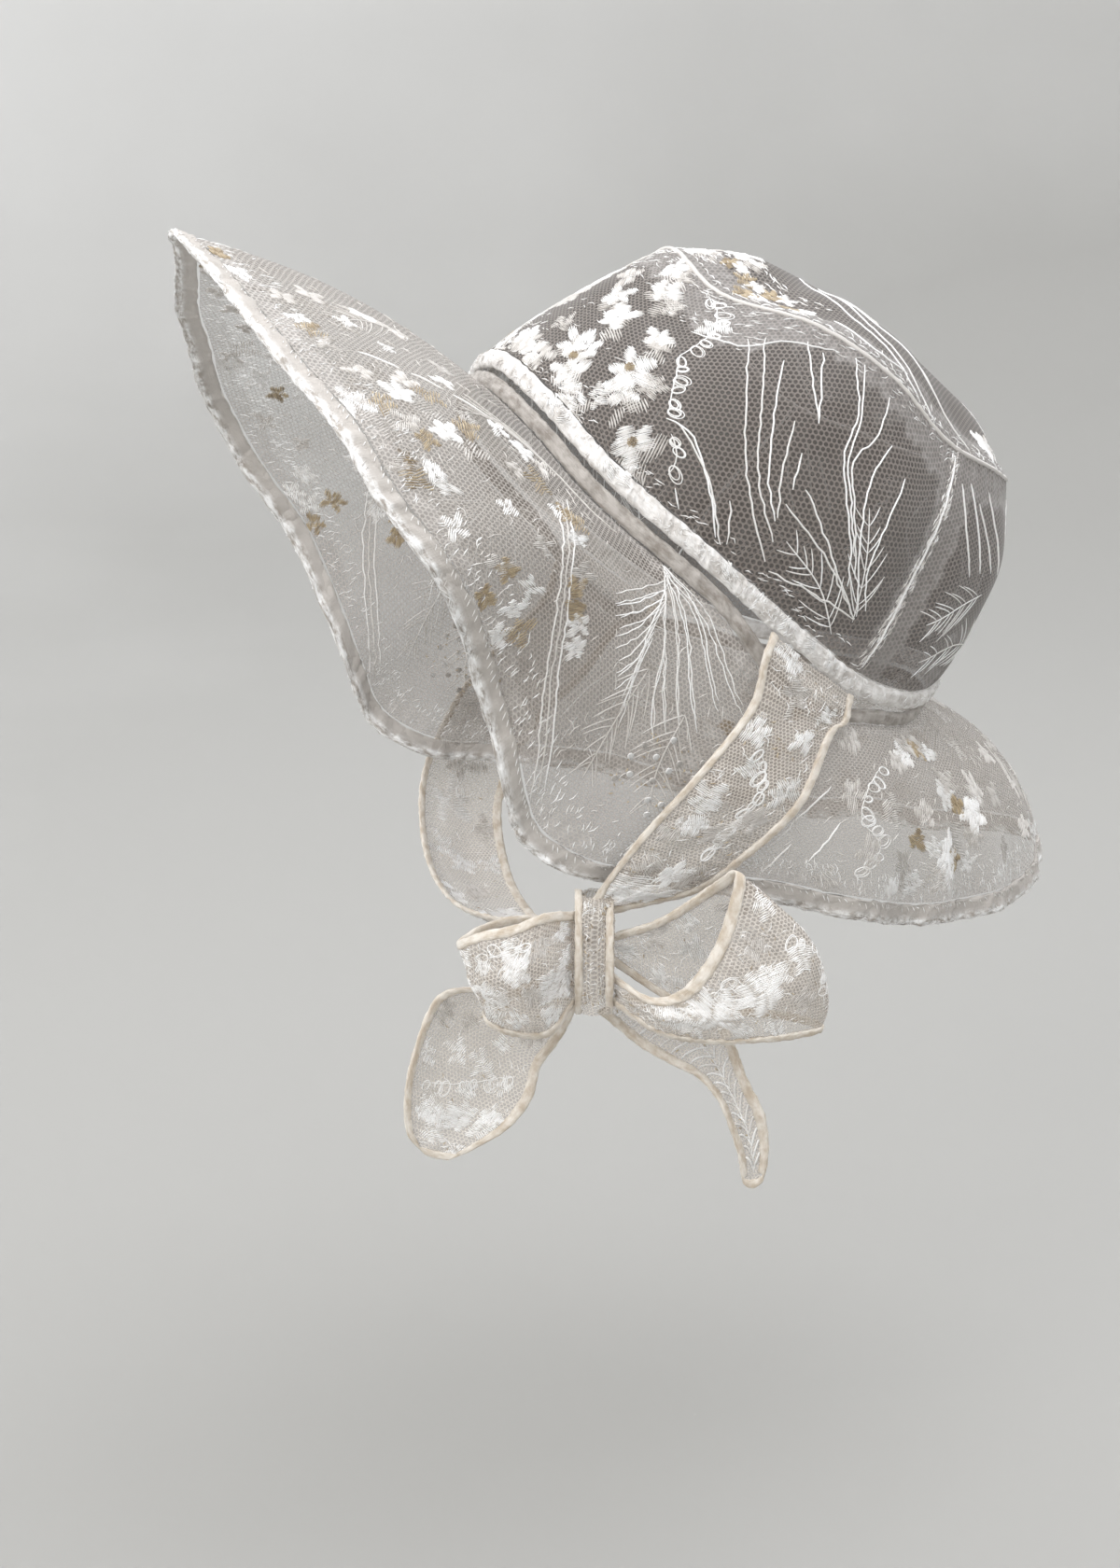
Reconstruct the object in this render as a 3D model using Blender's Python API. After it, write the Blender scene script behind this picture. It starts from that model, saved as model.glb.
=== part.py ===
"""Sheer embroidered hat with a wired brim, tied on by a ribbon with a bow beside the chin.

The tables are in millimetres and the meshes in metres. The front of the hat faces -Y, the
wearer's left is +X and the side with the bow. The origin is the centre of the head opening,
where the crown is sewn to the brim.
"""
import math
from collections import namedtuple

import bpy
import bmesh
import numpy as np

MM = 0.001
SEWN_GAP = 0.3            # left between two pieces that are sewn together
CORNER_GAP = 0.75         # the same, where a wall meets a tape at a corner
SEAM_GAP = 0.62           # the same, where the crown's wall meets its tip

# Head opening
OPENING_LENGTH = 196.0    # front to back, along the tilted opening
OPENING_WIDTH = 168.0
OPENING_TILT = math.radians(35.6)    # the front is raised by this much
DOWN_AXIS = (math.sin(OPENING_TILT), math.cos(OPENING_TILT))

# Cloth and tapes
CLOTH = 1.2               # two sheer layers with their embroidery
CROWN_TAPE_HEIGHT, CROWN_TAPE_THICKNESS = 6.5, 3.2
HEAD_TAPE_HEIGHT, HEAD_TAPE_THICKNESS = 4.6, 2.4
EDGE_TAPE_DEPTH, EDGE_TAPE_THICKNESS = 8.0, 3.4
TAPE_SLIMNESS = 0.3       # half thickness of a tape at its edges, as a share of the whole
RIBBON_TAPE_WIDTH, RIBBON_TAPE_THICKNESS = 2.4, 2.0
RIBBON_GAP = 0.5          # between a ribbon's cloth and its tape, which turns sharply at a loop's end
GROOVE = 1.2              # between the crown tape and the brim's head tape
SLOT_HEIGHT = 7.5         # extra groove where a ribbon comes out
SLOT_ANGLE, SLOT_HALF_ANGLE = 100.0, 26.0
SLOT_FRONT_ANGLE, SLOT_BACK_ANGLE = 88.0, 113.0    # where the ribbon is sewn in, each side
SEWN_END = {"out": 0.7, "up": -0.5}                # its first row, from the opening's rim
FIRST_OUTSIDE = {"out": 4.6, "up": -9.0}           # its second row, outside the head tape
SIDE_SEAM_ANGLE = 112.0   # the crown's side panel ends and its back panel starts
SEAM_HALF_ANGLE = 0.12

# How far the opening's rim is pulled down at the sides
DipRow = namedtuple("DipRow", "angle dip")
DIPS = [DipRow(0, 0), DipRow(24, 5.5), DipRow(46, 15), DipRow(70, 21), DipRow(92, 25.5),
        DipRow(112, 26.5), DipRow(134, 19), DipRow(158, 6), DipRow(180, 0)]

# Seam between the crown's wall and its tip: height over the opening, and the wall's belly
CrownRow = namedtuple("CrownRow", "angle height belly")
CROWN = [CrownRow(0, 67, 2), CrownRow(32, 59, 5), CrownRow(60, 66, 9), CrownRow(82, 66, 10),
         CrownRow(104, 61, 9), CrownRow(132, 66, 8), CrownRow(158, 70, 7), CrownRow(180, 71, 7)]
TIP_LENGTH, TIP_WIDTH, TIP_BACK = 149.0, 124.0, 6.5
TIP_TOP = 88.0            # height of the tip's middle over the opening
TIP_ROUNDNESS = 2.2
TIP_LAST_RING = 0.86      # how far in the last ring of the tip's mesh lies

# Soft dents of the crown: where, how wide, how deep (outward is plus)
DentRow = namedtuple("DentRow", "angle rise half_angle half_rise depth")
WALL_DENTS = [DentRow(28, 0.80, 16, 0.30, -3.0), DentRow(96, 0.62, 13, 0.30, 2.6),
              DentRow(112, 0.42, 9, 0.40, -3.0), DentRow(140, 0.70, 14, 0.30, 3.0),
              DentRow(160, 0.45, 12, 0.35, -3.2), DentRow(-60, 0.60, 18, 0.35, -3.0),
              DentRow(-105, 0.45, 16, 0.35, 3.0), DentRow(-150, 0.60, 14, 0.30, -3.0),
              DentRow(66, 0.30, 14, 0.30, -2.0), DentRow(180, 0.80, 14, 0.25, -2.4)]
TIP_DENTS = [DentRow(48, 0.22, 22, 0.20, -4.0), DentRow(14, 0.30, 18, 0.25, 2.5),
             DentRow(92, 0.30, 20, 0.25, 2.0), DentRow(124, 0.25, 16, 0.25, -3.5),
             DentRow(160, 0.30, 18, 0.25, 2.5), DentRow(-40, 0.35, 22, 0.25, -3.0),
             DentRow(-110, 0.30, 24, 0.25, -3.0)]
DENT_FALL = 1.6           # how fast a dent fades out at its half size

# Outer edge of the brim, the brim's belly between head and edge, and its falling folds
BrimRow = namedtuple("BrimRow", "angle side back up belly fold")
BRIM = [BrimRow(0, 0, -185, 103, 7, 0), BrimRow(7, 17, -180, 95, 7, 0),
        BrimRow(14, 38, -175.5, 84, 8, 0), BrimRow(22, 58, -171, 73, 9, 0.3),
        BrimRow(31, 80, -162, 57, 10, 0.6), BrimRow(41, 99, -153, 37, 10, 0.8),
        BrimRow(51, 106, -139, 13, 10, 1.0), BrimRow(59, 99, -125, -11, 10, 1.6),
        BrimRow(67, 88, -115, -38, 9, 2.2), BrimRow(75, 81, -106, -67, 8, 2.4),
        BrimRow(83, 79, -97, -84, 8, 2.2), BrimRow(90, 78, -78, -95, 8, 1.8),
        BrimRow(97, 80, -55, -100, 8, 1.2), BrimRow(105, 84, -25, -106, 8, 1.2),
        BrimRow(116, 88, 8, -116, 9, 1.8), BrimRow(128, 80, 38, -125, 10, 2.4),
        BrimRow(142, 72, 64, -129, 11, 3.0), BrimRow(156, 55, 94, -133, 12, 2.6),
        BrimRow(168, 32, 118, -132, 12, 1.6), BrimRow(180, 0, 137, -130, 12, 0)]
FOLDS_ROUND = 22          # folds in the brim's full turn
FOLD_DRIFT = 1.1          # how unevenly they are spread

# The knot stands beside the jaw; bow and tails are placed from it, outward along the bow,
# near towards the wearer's left and up
KNOT = np.array((79.0, -75.2, -117.1))
KNOT_TURN = math.radians(21.4)
KNOT_AXES = np.array(((math.sin(KNOT_TURN), math.cos(KNOT_TURN), 0.0),
                      (math.cos(KNOT_TURN), -math.sin(KNOT_TURN), 0.0),
                      (0.0, 0.0, 1.0)))
KnotRow = namedtuple("KnotRow", "up half_width half_depth shift")
KNOT_ROWS = [KnotRow(17.3, 4.2, 5.0, 0.8), KnotRow(13, 6.0, 7.4, 0.4), KnotRow(4, 6.5, 8.4, 0.0),
             KnotRow(-6, 6.5, 8.6, 0.0), KnotRow(-15, 6.4, 7.6, 0.0), KnotRow(-22, 5.2, 5.6, 0.8)]
KNOT_SQUARENESS = 0.7     # 1 is an oval section, less is squarer

# Ribbon rows: first edge, middle and second edge of the ribbon at each section
RibbonRow = namedtuple("RibbonRow", "first middle second")
STRAP = [RibbonRow((90, -28, -41), (91, -13, -48), (87, 4, -54)),
         RibbonRow((93, -47, -60), (95, -30, -67), (93, -9, -74)),
         RibbonRow((90.5, -63, -77), (93, -47, -83), (92, -28, -90)),
         RibbonRow((87, -72.5, -90.5), (89.5, -60.5, -95), (86.5, -42, -101)),
         RibbonRow((82.8, -77, -97.6), (86, -70, -101.4), (81.8, -66.6, -107))]
CHIN = [RibbonRow((-86, -78, -104), (-86, -64, -112), (-84, -46, -116)),
        RibbonRow((-58, -87, -124), (-58, -72, -132), (-56, -54, -134)),
        RibbonRow((-22, -90, -131), (-22, -75, -139), (-22, -58, -140)),
        RibbonRow((14, -87, -127), (14, -74, -135), (15, -60, -137)),
        RibbonRow((44, -82, -118), (44, -74, -125), (45, -65, -128)),
        RibbonRow((68.8, -76.5, -111), (68.3, -74.3, -116), (68.8, -72, -121))]

# Bow loops and tails from the knot: outward, near, up
LOOP_BACK = [RibbonRow((7.2, 4, -8), (7.4, 5.4, -13.5), (7.2, 4, -19)),
             RibbonRow((16, 12, -12.4), (19, 16, -19), (20, 10, -26)),
             RibbonRow((24, 16, -11), (32, 20, -19), (34, 14, -28)),
             RibbonRow((31, 18, -4), (45, 21, -16), (49, 16, -27)),
             RibbonRow((38.5, 17, 9), (58, 19, -8), (61, 15, -26.5)),
             RibbonRow((43.5, 12.5, 28), (70, 11, 1), (72, 8, -26.5)),
             RibbonRow((37.5, 6.5, 23), (58, 3, 0), (62, 1, -25.5)),
             RibbonRow((29, 5, 16), (41, 0, -3), (44, -1, -24.5)),
             RibbonRow((19, 4, 9.5), (24, 0, -5), (26, -2, -21)),
             RibbonRow((7.2, 2, 4.5), (7.4, 0, -1), (7.2, -1, -7.4))]
LOOP_FRONT = [RibbonRow((-7.2, 4, 13), (-7.4, 6.6, -3), (-7.2, 4, -19)),
              RibbonRow((-15, 12, 15), (-17, 18, -7), (-14, 10, -27)),
              RibbonRow((-25, 15, 12), (-27, 21, -8), (-25, 13, -26)),
              RibbonRow((-35, 14, 9.5), (-35, 18, -7), (-33, 12, -23)),
              RibbonRow((-43, 7, 4), (-39, 9, -8), (-33.5, 5, -20)),
              RibbonRow((-35, 0, 7), (-31, -1, -6), (-27, -1, -19)),
              RibbonRow((-22, -3, 9), (-20, -4.4, -4), (-18, -3, -16)),
              RibbonRow((-7.2, -1.4, 8), (-7.4, -2.4, -1), (-7.2, -1.4, -9))]
TAIL_FRONT = [RibbonRow((-6.9, -4.6, -13.5), (-6.0, -5.4, -17.5), (-5.2, -5.0, -22.4)),
              RibbonRow((-20, -9.5, -17.5), (-14, -10, -24), (-8, -8, -31)),
              RibbonRow((-37, -10, -18), (-25, -12, -28), (-12, -9, -38.5)),
              RibbonRow((-50, -6, -19.5), (-36, -12, -34), (-17, -9, -46)),
              RibbonRow((-57, -1, -33), (-41, -8, -45), (-20, -7, -56.5)),
              RibbonRow((-61, 1, -49), (-46, -4, -58), (-27.5, -3, -65)),
              RibbonRow((-61, 1, -64), (-50, -1, -68.5), (-38, -1, -71)),
              RibbonRow((-56, 0, -72.5), (-51, 0, -74.4), (-46.5, 0, -74.8))]
TAIL_BACK = [RibbonRow((1.3, -4.3, -24.9), (5.1, -5.2, -22.0), (8.1, -4.9, -17.9)),
             RibbonRow((8, -5, -31), (12.5, -9, -26), (17, -6.5, -20.5)),
             RibbonRow((16, -6, -38), (23, -12, -31), (31, -7, -23.5)),
             RibbonRow((26, -6, -44), (33, -11, -36), (41, -6, -27)),
             RibbonRow((34, -4, -47.5), (39, -8, -43), (46, -3, -36)),
             RibbonRow((40.5, -1, -54), (44, -4, -51), (50, 0, -46)),
             RibbonRow((44.5, 1, -63), (49, -2, -61), (55.5, 2, -57.5)),
             RibbonRow((47.5, 1, -73.5), (52, -1, -72), (57.5, 1, -69.5)),
             RibbonRow((48.4, 0, -82), (52.4, 0, -85), (56.8, 0, -81.2))]

# Small steps that find a surface's outward direction: along and across
ANGLE_STEP = 1.5
BRIM_STEPS = (1.0, 0.02)
RIBBON_STEPS = (0.05, 0.03)
TURN_ROOM = 0.1           # of a ribbon row, left for the tape's turn at a tail's end

WHITE_CLOTH = (0.72, 0.71, 0.70, 1.0)
WHITE_TAPE = (0.80, 0.78, 0.75, 1.0)
CREAM_CLOTH = (0.74, 0.71, 0.66, 1.0)
CREAM_TAPE = (0.66, 0.57, 0.46, 1.0)


# Reading the tables

def smooth(stations, values, at):
    """Read a table smoothly: a curve through the values at the rows' stations."""
    slopes = np.gradient(values, stations, axis=0)
    i = int(np.clip(np.searchsorted(stations, at) - 1, 0, len(stations) - 2))
    span = stations[i + 1] - stations[i]
    t = (at - stations[i]) / span
    return (values[i] * (1 + 2 * t) * (1 - t) ** 2 + values[i + 1] * t * t * (3 - 2 * t)
            + span * (slopes[i] * t * (1 - t) ** 2 - slopes[i + 1] * t * t * (1 - t)))


def round_reader(rows, column, odd=False):
    """A column read all round the hat; an odd column changes sign on the far side."""
    angles = [row.angle for row in rows]
    values = [getattr(row, column) for row in rows]
    sign = -1 if odd else 1
    front = [(-angles[i], sign * values[i]) for i in (2, 1)]
    back = [(360 - angles[i], sign * values[i]) for i in (-2, -3)]
    pairs = np.array(front + list(zip(angles, values)) + back, float)

    def read(angle):
        folded = (angle + 180) % 360 - 180
        value = smooth(pairs[:, 0], pairs[:, 1], abs(folded))
        return -value if odd and folded < 0 else value
    return read


dip_at = round_reader(DIPS, "dip")
seam_height_at = round_reader(CROWN, "height")
wall_belly_at = round_reader(CROWN, "belly")
edge_side_at = round_reader(BRIM, "side", odd=True)
edge_back_at = round_reader(BRIM, "back")
edge_up_at = round_reader(BRIM, "up")
brim_belly_at = round_reader(BRIM, "belly")
brim_fold_at = round_reader(BRIM, "fold")


def unit(vector):
    return vector / np.linalg.norm(vector)


def bend(start, middle, end, t):
    """Point on the curve that passes the middle half way."""
    control = 2 * middle - (start + end) / 2
    return start * (1 - t) ** 2 + control * 2 * t * (1 - t) + end * t * t


# Surfaces of the hat, in millimetres

def tilted(side, along, up):
    """World point from the opening's own axes: side, back along it, up square to it."""
    return np.array((side, along * DOWN_AXIS[1] + up * DOWN_AXIS[0],
                     -along * DOWN_AXIS[0] + up * DOWN_AXIS[1]))


def head_ring(angle, out=0.0, up=0.0):
    """The rim of the head opening; angle 0 is the front and 90 the wearer's left."""
    turn = math.radians(angle)
    half_length, half_width = OPENING_LENGTH / 2, OPENING_WIDTH / 2
    outward = unit(np.array((math.sin(turn) / half_width, -math.cos(turn) / half_length)))
    return tilted(half_width * math.sin(turn) + out * outward[0],
                  -half_length * math.cos(turn) + out * outward[1], up - dip_at(angle))


def slot_at(angle):
    """How far the groove opens for the ribbon at each side."""
    away = (abs((angle + 180) % 360 - 180) - SLOT_ANGLE) / SLOT_HALF_ANGLE
    return SLOT_HEIGHT * math.cos(away * math.pi / 2) ** 2 if abs(away) < 1 else 0.0


def dent_at(dents, angle, rise):
    depth = 0.0
    for row in dents:
        away = ((angle - row.angle + 180) % 360 - 180) / row.half_angle
        higher = (rise - row.rise) / row.half_rise
        depth += row.depth * math.exp(-(away * away + higher * higher) * DENT_FALL)
    return depth


def tip_seam(angle):
    turn = math.radians(angle)
    return tilted(TIP_WIDTH / 2 * math.sin(turn), TIP_BACK - TIP_LENGTH / 2 * math.cos(turn),
                  seam_height_at(angle))


def crown_point(angle, rise):
    """The crown's wall, from the crown tape (rise 0) to the tip seam (rise 1)."""
    foot = head_ring(angle, up=CROWN_TAPE_HEIGHT + CORNER_GAP)
    top = tip_seam(angle)
    outward = unit(head_ring(angle, out=1.0) - head_ring(angle))
    bulge = wall_belly_at(angle) + dent_at(WALL_DENTS, angle, rise)
    return bend(foot, (foot + top) / 2, top, rise) + outward * bulge * 4 * rise * (1 - rise)


def tip_point(angle, inward):
    """The crown's tip, from its seam (inward 0) to its middle (inward 1)."""
    seam = tip_seam(angle)
    middle = tilted(0.0, TIP_BACK, TIP_TOP)
    flat_middle = tilted(0.0, TIP_BACK, seam_height_at(angle))
    lift = 1 - (1 - inward) ** TIP_ROUNDNESS
    dent = dent_at(TIP_DENTS, angle, inward) * min(1.0, 6 * inward) * (1 - inward ** 2)
    return seam + (flat_middle - seam) * inward + (middle - flat_middle) * lift + tilted(0, 0, dent)


def brim_edge(angle):
    return np.array((edge_side_at(angle), edge_back_at(angle), edge_up_at(angle)))


def brim_top(angle):
    """How far below the opening's rim the brim's cloth starts."""
    return GROOVE + slot_at(angle) + HEAD_TAPE_HEIGHT + CORNER_GAP + CLOTH / 2


def brim_point(angle, reach):
    """The brim, from its head tape (reach 0) to its outer edge (reach 1)."""
    head, edge = head_ring(angle, up=-brim_top(angle)), brim_edge(angle)
    along = brim_edge(angle + ANGLE_STEP) - brim_edge(angle - ANGLE_STEP)
    ring_along = head_ring(angle + ANGLE_STEP) - head_ring(angle - ANGLE_STEP)
    outward = unit(np.cross(edge - head, unit(along) + unit(ring_along)))
    folded = math.radians((angle + 180) % 360 - 180)
    fold = brim_fold_at(angle) * math.sin(FOLDS_ROUND * folded + FOLD_DRIFT * math.sin(3 * folded))
    middle = (head + edge) / 2 + outward * brim_belly_at(angle)
    return bend(head, middle, edge, reach) + outward * fold * reach * reach


def brim_length(angle):
    points = [brim_point(angle, reach) for reach in np.linspace(0, 1, 7)]
    return sum(np.linalg.norm(b - a) for a, b in zip(points, points[1:]))


def normal_of(surface, first, second, first_step, second_step):
    """Outward direction of a surface at one place."""
    across = surface(first + first_step, second) - surface(first - first_step, second)
    down = surface(first, second + second_step) - surface(first, second - second_step)
    return unit(np.cross(across, down))


# Ribbons, in millimetres

def from_knot(row):
    """A row of the bow's tables, moved from the knot's axes to the hat's."""
    return RibbonRow(*(KNOT + np.array(point) @ KNOT_AXES for point in row))


def mirrored(row):
    return RibbonRow(*(np.array(point) * (-1, 1, 1) for point in row))


def slot_rows():
    """The sewn end of a ribbon in its slot: under the crown tape, then out over the brim."""
    middle = (SLOT_FRONT_ANGLE + SLOT_BACK_ANGLE) / 2
    places = (SLOT_FRONT_ANGLE, middle, SLOT_BACK_ANGLE)
    sewn = RibbonRow(*(head_ring(angle, **SEWN_END) for angle in places))
    outside = RibbonRow(*(head_ring(angle, **FIRST_OUTSIDE) for angle in places))
    return [sewn, outside]


def ribbon_surface(rows):
    """Point on a ribbon: station counts its rows, across runs from its first edge to its second."""
    stations = np.arange(len(rows), dtype=float)
    tracks = [np.array([row[i] for row in rows], float) for i in range(3)]

    def point(station, across):
        first, middle, second = (smooth(stations, track, station) for track in tracks)
        return bend(first, middle, second, across)
    return point


def ribbon_width(surface, station):
    points = [surface(station, across) for across in np.linspace(0, 1, 5)]
    return sum(np.linalg.norm(b - a) for a, b in zip(points, points[1:]))


# Turning surfaces into objects

def finish_object(name, mesh_data, material):
    mesh = bpy.data.meshes.new(name)
    mesh_data.to_mesh(mesh)
    mesh_data.free()
    mesh.materials.append(material)
    mesh.shade_smooth()
    made = bpy.data.objects.new(name, mesh)
    bpy.context.collection.objects.link(made)
    return made


def wall(name, grid, material, closed=False, pole=None, thickness=CLOTH):
    """A cloth wall from a grid of points; closed joins its last column to its first."""
    shape = bmesh.new()
    columns = [[shape.verts.new(point * MM) for point in column] for column in grid]
    top = None if pole is None else shape.verts.new(pole * MM)
    last = len(columns) if closed else len(columns) - 1
    for i in range(last):
        here, there = columns[i], columns[(i + 1) % len(columns)]
        for j in range(len(here) - 1):
            shape.faces.new((here[j], there[j], there[j + 1], here[j + 1]))
        if top is not None:
            shape.faces.new((here[-1], there[-1], top))
    made = finish_object(name, shape, material)
    thicken = made.modifiers.new("cloth_thickness", "SOLIDIFY")
    thicken.thickness = thickness * MM
    thicken.offset = 0.0
    return made


def lofted(name, sections, material, closed=False):
    """A solid run of sections, bridged one to the next, closed on itself or capped."""
    shape = bmesh.new()
    rings = [[shape.verts.new(point * MM) for point in section] for section in sections]
    sides = len(rings[0])
    last = len(rings) if closed else len(rings) - 1
    for i in range(last):
        here, there = rings[i], rings[(i + 1) % len(rings)]
        for j in range(sides):
            k = (j + 1) % sides
            shape.faces.new((here[j], here[k], there[k], there[j]))
    if not closed:
        shape.faces.new(rings[0])
        shape.faces.new(rings[-1])
    bmesh.ops.recalc_face_normals(shape, faces=shape.faces)
    return finish_object(name, shape, material)


def tape_section(start, end, thick_way, thickness):
    """Six-sided section of a padded tape: full in its middle, slimmer at both edges."""
    middle = (start + end) / 2
    full, slim = thick_way * thickness / 2, thick_way * thickness * TAPE_SLIMNESS
    return [start + slim, middle + full, end + slim, end - slim, middle - full, start - slim]


def cloth_material(name, colour, roughness):
    made = bpy.data.materials.new(name)
    made.use_nodes = True
    shader = made.node_tree.nodes["Principled BSDF"]
    shader.inputs["Base Color"].default_value = colour
    shader.inputs["Roughness"].default_value = roughness
    shader.inputs["Metallic"].default_value = 0.0
    made.diffuse_color = colour
    return made


# Crown

def build_crown(columns_side=40, columns_back=24, rows=6, tip_columns=48, tip_rows=6):
    rises = np.linspace(0.0, 1.0, rows)
    side_end = SIDE_SEAM_ANGLE - SEAM_HALF_ANGLE
    back_start = SIDE_SEAM_ANGLE + SEAM_HALF_ANGLE

    def column(angle):
        height = np.linalg.norm(tip_seam(angle) - head_ring(angle))
        return [crown_point(angle, rise * (1 - SEAM_GAP / height)) for rise in rises]
    wall("crown_side", [column(a) for a in np.linspace(-side_end, side_end, columns_side)],
         cloth_material("crown_side_lace", WHITE_CLOTH, 0.6))
    wall("crown_back", [column(a) for a in np.linspace(back_start, 360 - back_start, columns_back)],
         cloth_material("crown_back_lace", WHITE_CLOTH, 0.6))

    inwards = np.linspace(SEAM_GAP / (TIP_WIDTH / 2), TIP_LAST_RING, tip_rows)
    grid = [[tip_point(a, inward) for inward in inwards]
            for a in np.arange(tip_columns) * 360.0 / tip_columns]
    wall("crown_tip", grid, cloth_material("crown_tip_lace", WHITE_CLOTH, 0.6), closed=True,
         pole=tip_point(0.0, 1.0))


def build_head_tapes(columns=60):
    angles = np.arange(columns) * 360.0 / columns

    def band(angle, bottom, top, thickness):
        low, high = head_ring(angle, up=bottom), head_ring(angle, up=top)
        outward = unit(head_ring(angle, out=1.0) - head_ring(angle))
        return tape_section(low, high, outward, thickness)
    crown_bands = [band(a, 0.0, CROWN_TAPE_HEIGHT, CROWN_TAPE_THICKNESS) for a in angles]
    lofted("crown_binding", crown_bands, cloth_material("crown_tape", WHITE_TAPE, 0.7), closed=True)
    head_bands = []
    for a in angles:
        top = -GROOVE - slot_at(a)
        head_bands.append(band(a, top - HEAD_TAPE_HEIGHT, top, HEAD_TAPE_THICKNESS))
    lofted("brim_head_binding", head_bands, cloth_material("head_tape", WHITE_TAPE, 0.7), closed=True)


# Brim

def build_brim(columns=72, rows=7):
    angles = np.arange(columns) * 360.0 / columns
    cloth_grid, tape_sections = [], []
    for a in angles:
        length = brim_length(a)
        inner_end = 1 - (EDGE_TAPE_DEPTH + SEWN_GAP) / length
        cloth_grid.append([brim_point(a, reach) for reach in np.linspace(0, inner_end, rows)])
        tape_start = 1 - EDGE_TAPE_DEPTH / length
        outward = normal_of(brim_point, a, 1 - EDGE_TAPE_DEPTH / 2 / length, *BRIM_STEPS)
        tape_sections.append(tape_section(brim_point(a, tape_start), brim_point(a, 1.0),
                                          outward, EDGE_TAPE_THICKNESS))
    wall("brim", cloth_grid, cloth_material("brim_lace", WHITE_CLOTH, 0.6), closed=True)
    lofted("brim_edge_binding", tape_sections,
           cloth_material("edge_tape", WHITE_TAPE, 0.7), closed=True)


# Ribbon and bow

def tape_run(surface, stations, second_edge=False):
    """Sections of the narrow tape along one edge of a ribbon, outer side first."""
    sections = []
    for station in stations:
        step = RIBBON_TAPE_WIDTH / ribbon_width(surface, station)
        outer, inner = (1.0, 1 - step) if second_edge else (0.0, step)
        thick_way = normal_of(surface, station, (outer + inner) / 2, *RIBBON_STEPS)
        sections.append(flat_tape(surface(station, outer), surface(station, inner), thick_way))
    return sections


def flat_tape(outer, inner, thick_way):
    half = thick_way * RIBBON_TAPE_THICKNESS / 2
    return [outer + half, inner + half, inner - half, outer - half]


def ribbon_cloth(name, surface, stations, across):
    inset = RIBBON_TAPE_WIDTH + RIBBON_GAP
    grid = []
    for station in stations:
        step = inset / ribbon_width(surface, station)
        grid.append([surface(station, t) for t in np.linspace(step, 1 - step, across)])
    wall(name, grid, cloth_material(name + "_lace", CREAM_CLOTH, 0.6))


def build_ribbon(name, rows, sections, first_tape, second_tape, across=5):
    """A bound ribbon: its cloth and a narrow tape along each edge."""
    surface = ribbon_surface(rows)
    stations = np.linspace(0, len(rows) - 1, sections)
    ribbon_cloth(name, surface, stations, across)
    tape = cloth_material(name + "_tape", CREAM_TAPE, 0.7)
    lofted(name + first_tape, tape_run(surface, stations), tape)
    lofted(name + second_tape, tape_run(surface, stations, second_edge=True), tape)


def build_tail(name, rows, sections, across=5):
    """A free end of the ribbon, with one tape that runs down, round its end and back."""
    surface = ribbon_surface(rows)
    last = len(rows) - 1
    span = np.linalg.norm(surface(last, 0.5) - surface(last - 1, 0.5))
    tape_start = last - RIBBON_TAPE_WIDTH / span
    ribbon_cloth(name, surface, np.linspace(0, tape_start - 2 * RIBBON_GAP / span, sections), across)
    stations = np.linspace(0, tape_start - TURN_ROOM, sections)
    step = RIBBON_TAPE_WIDTH / ribbon_width(surface, last)
    turn = []
    for across_end in (step / 2, 0.5, 1 - step / 2):
        outer, inner = surface(last, across_end), surface(tape_start, across_end)
        thick_way = normal_of(surface, tape_start, across_end, *RIBBON_STEPS)
        turn.append(flat_tape(outer, inner, thick_way))
    run = tape_run(surface, stations) + turn + tape_run(surface, stations, second_edge=True)[::-1]
    lofted(name + "_binding", run, cloth_material(name + "_tape", CREAM_TAPE, 0.7))


def build_straps():
    near_rows = slot_rows() + STRAP
    far_rows = [mirrored(row) for row in slot_rows() + STRAP[:3]] + CHIN
    build_ribbon("near_strap", near_rows, 18, "_front_binding", "_back_binding")
    build_ribbon("chin_strap", far_rows, 28, "_front_binding", "_back_binding")


def build_bow():
    build_ribbon("bow_loop_front", [from_knot(row) for row in LOOP_FRONT], 20,
                 "_upper_binding", "_lower_binding")
    build_ribbon("bow_loop_back", [from_knot(row) for row in LOOP_BACK], 24,
                 "_upper_binding", "_lower_binding")
    build_tail("bow_tail_front", [from_knot(row) for row in TAIL_FRONT], 14)
    build_tail("bow_tail_back", [from_knot(row) for row in TAIL_BACK], 16)


def squared(value):
    return math.copysign(abs(value) ** KNOT_SQUARENESS, value)


def build_knot(sides=12):
    sections = []
    for row in KNOT_ROWS:
        turns = np.arange(sides) * 2 * math.pi / sides
        ring = [(row.half_width * squared(math.cos(t)) + row.shift,
                 row.half_depth * squared(math.sin(t)), row.up) for t in turns]
        sections.append([KNOT + np.array(point) @ KNOT_AXES for point in ring])
    lofted("bow_knot", sections, cloth_material("knot_lace", CREAM_CLOTH, 0.6))


def main():
    for old in list(bpy.data.objects):
        bpy.data.objects.remove(old)
    build_crown()
    build_head_tapes()
    build_brim()
    build_straps()
    build_bow()
    build_knot()


main()
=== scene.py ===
import math
from collections import namedtuple

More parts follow.
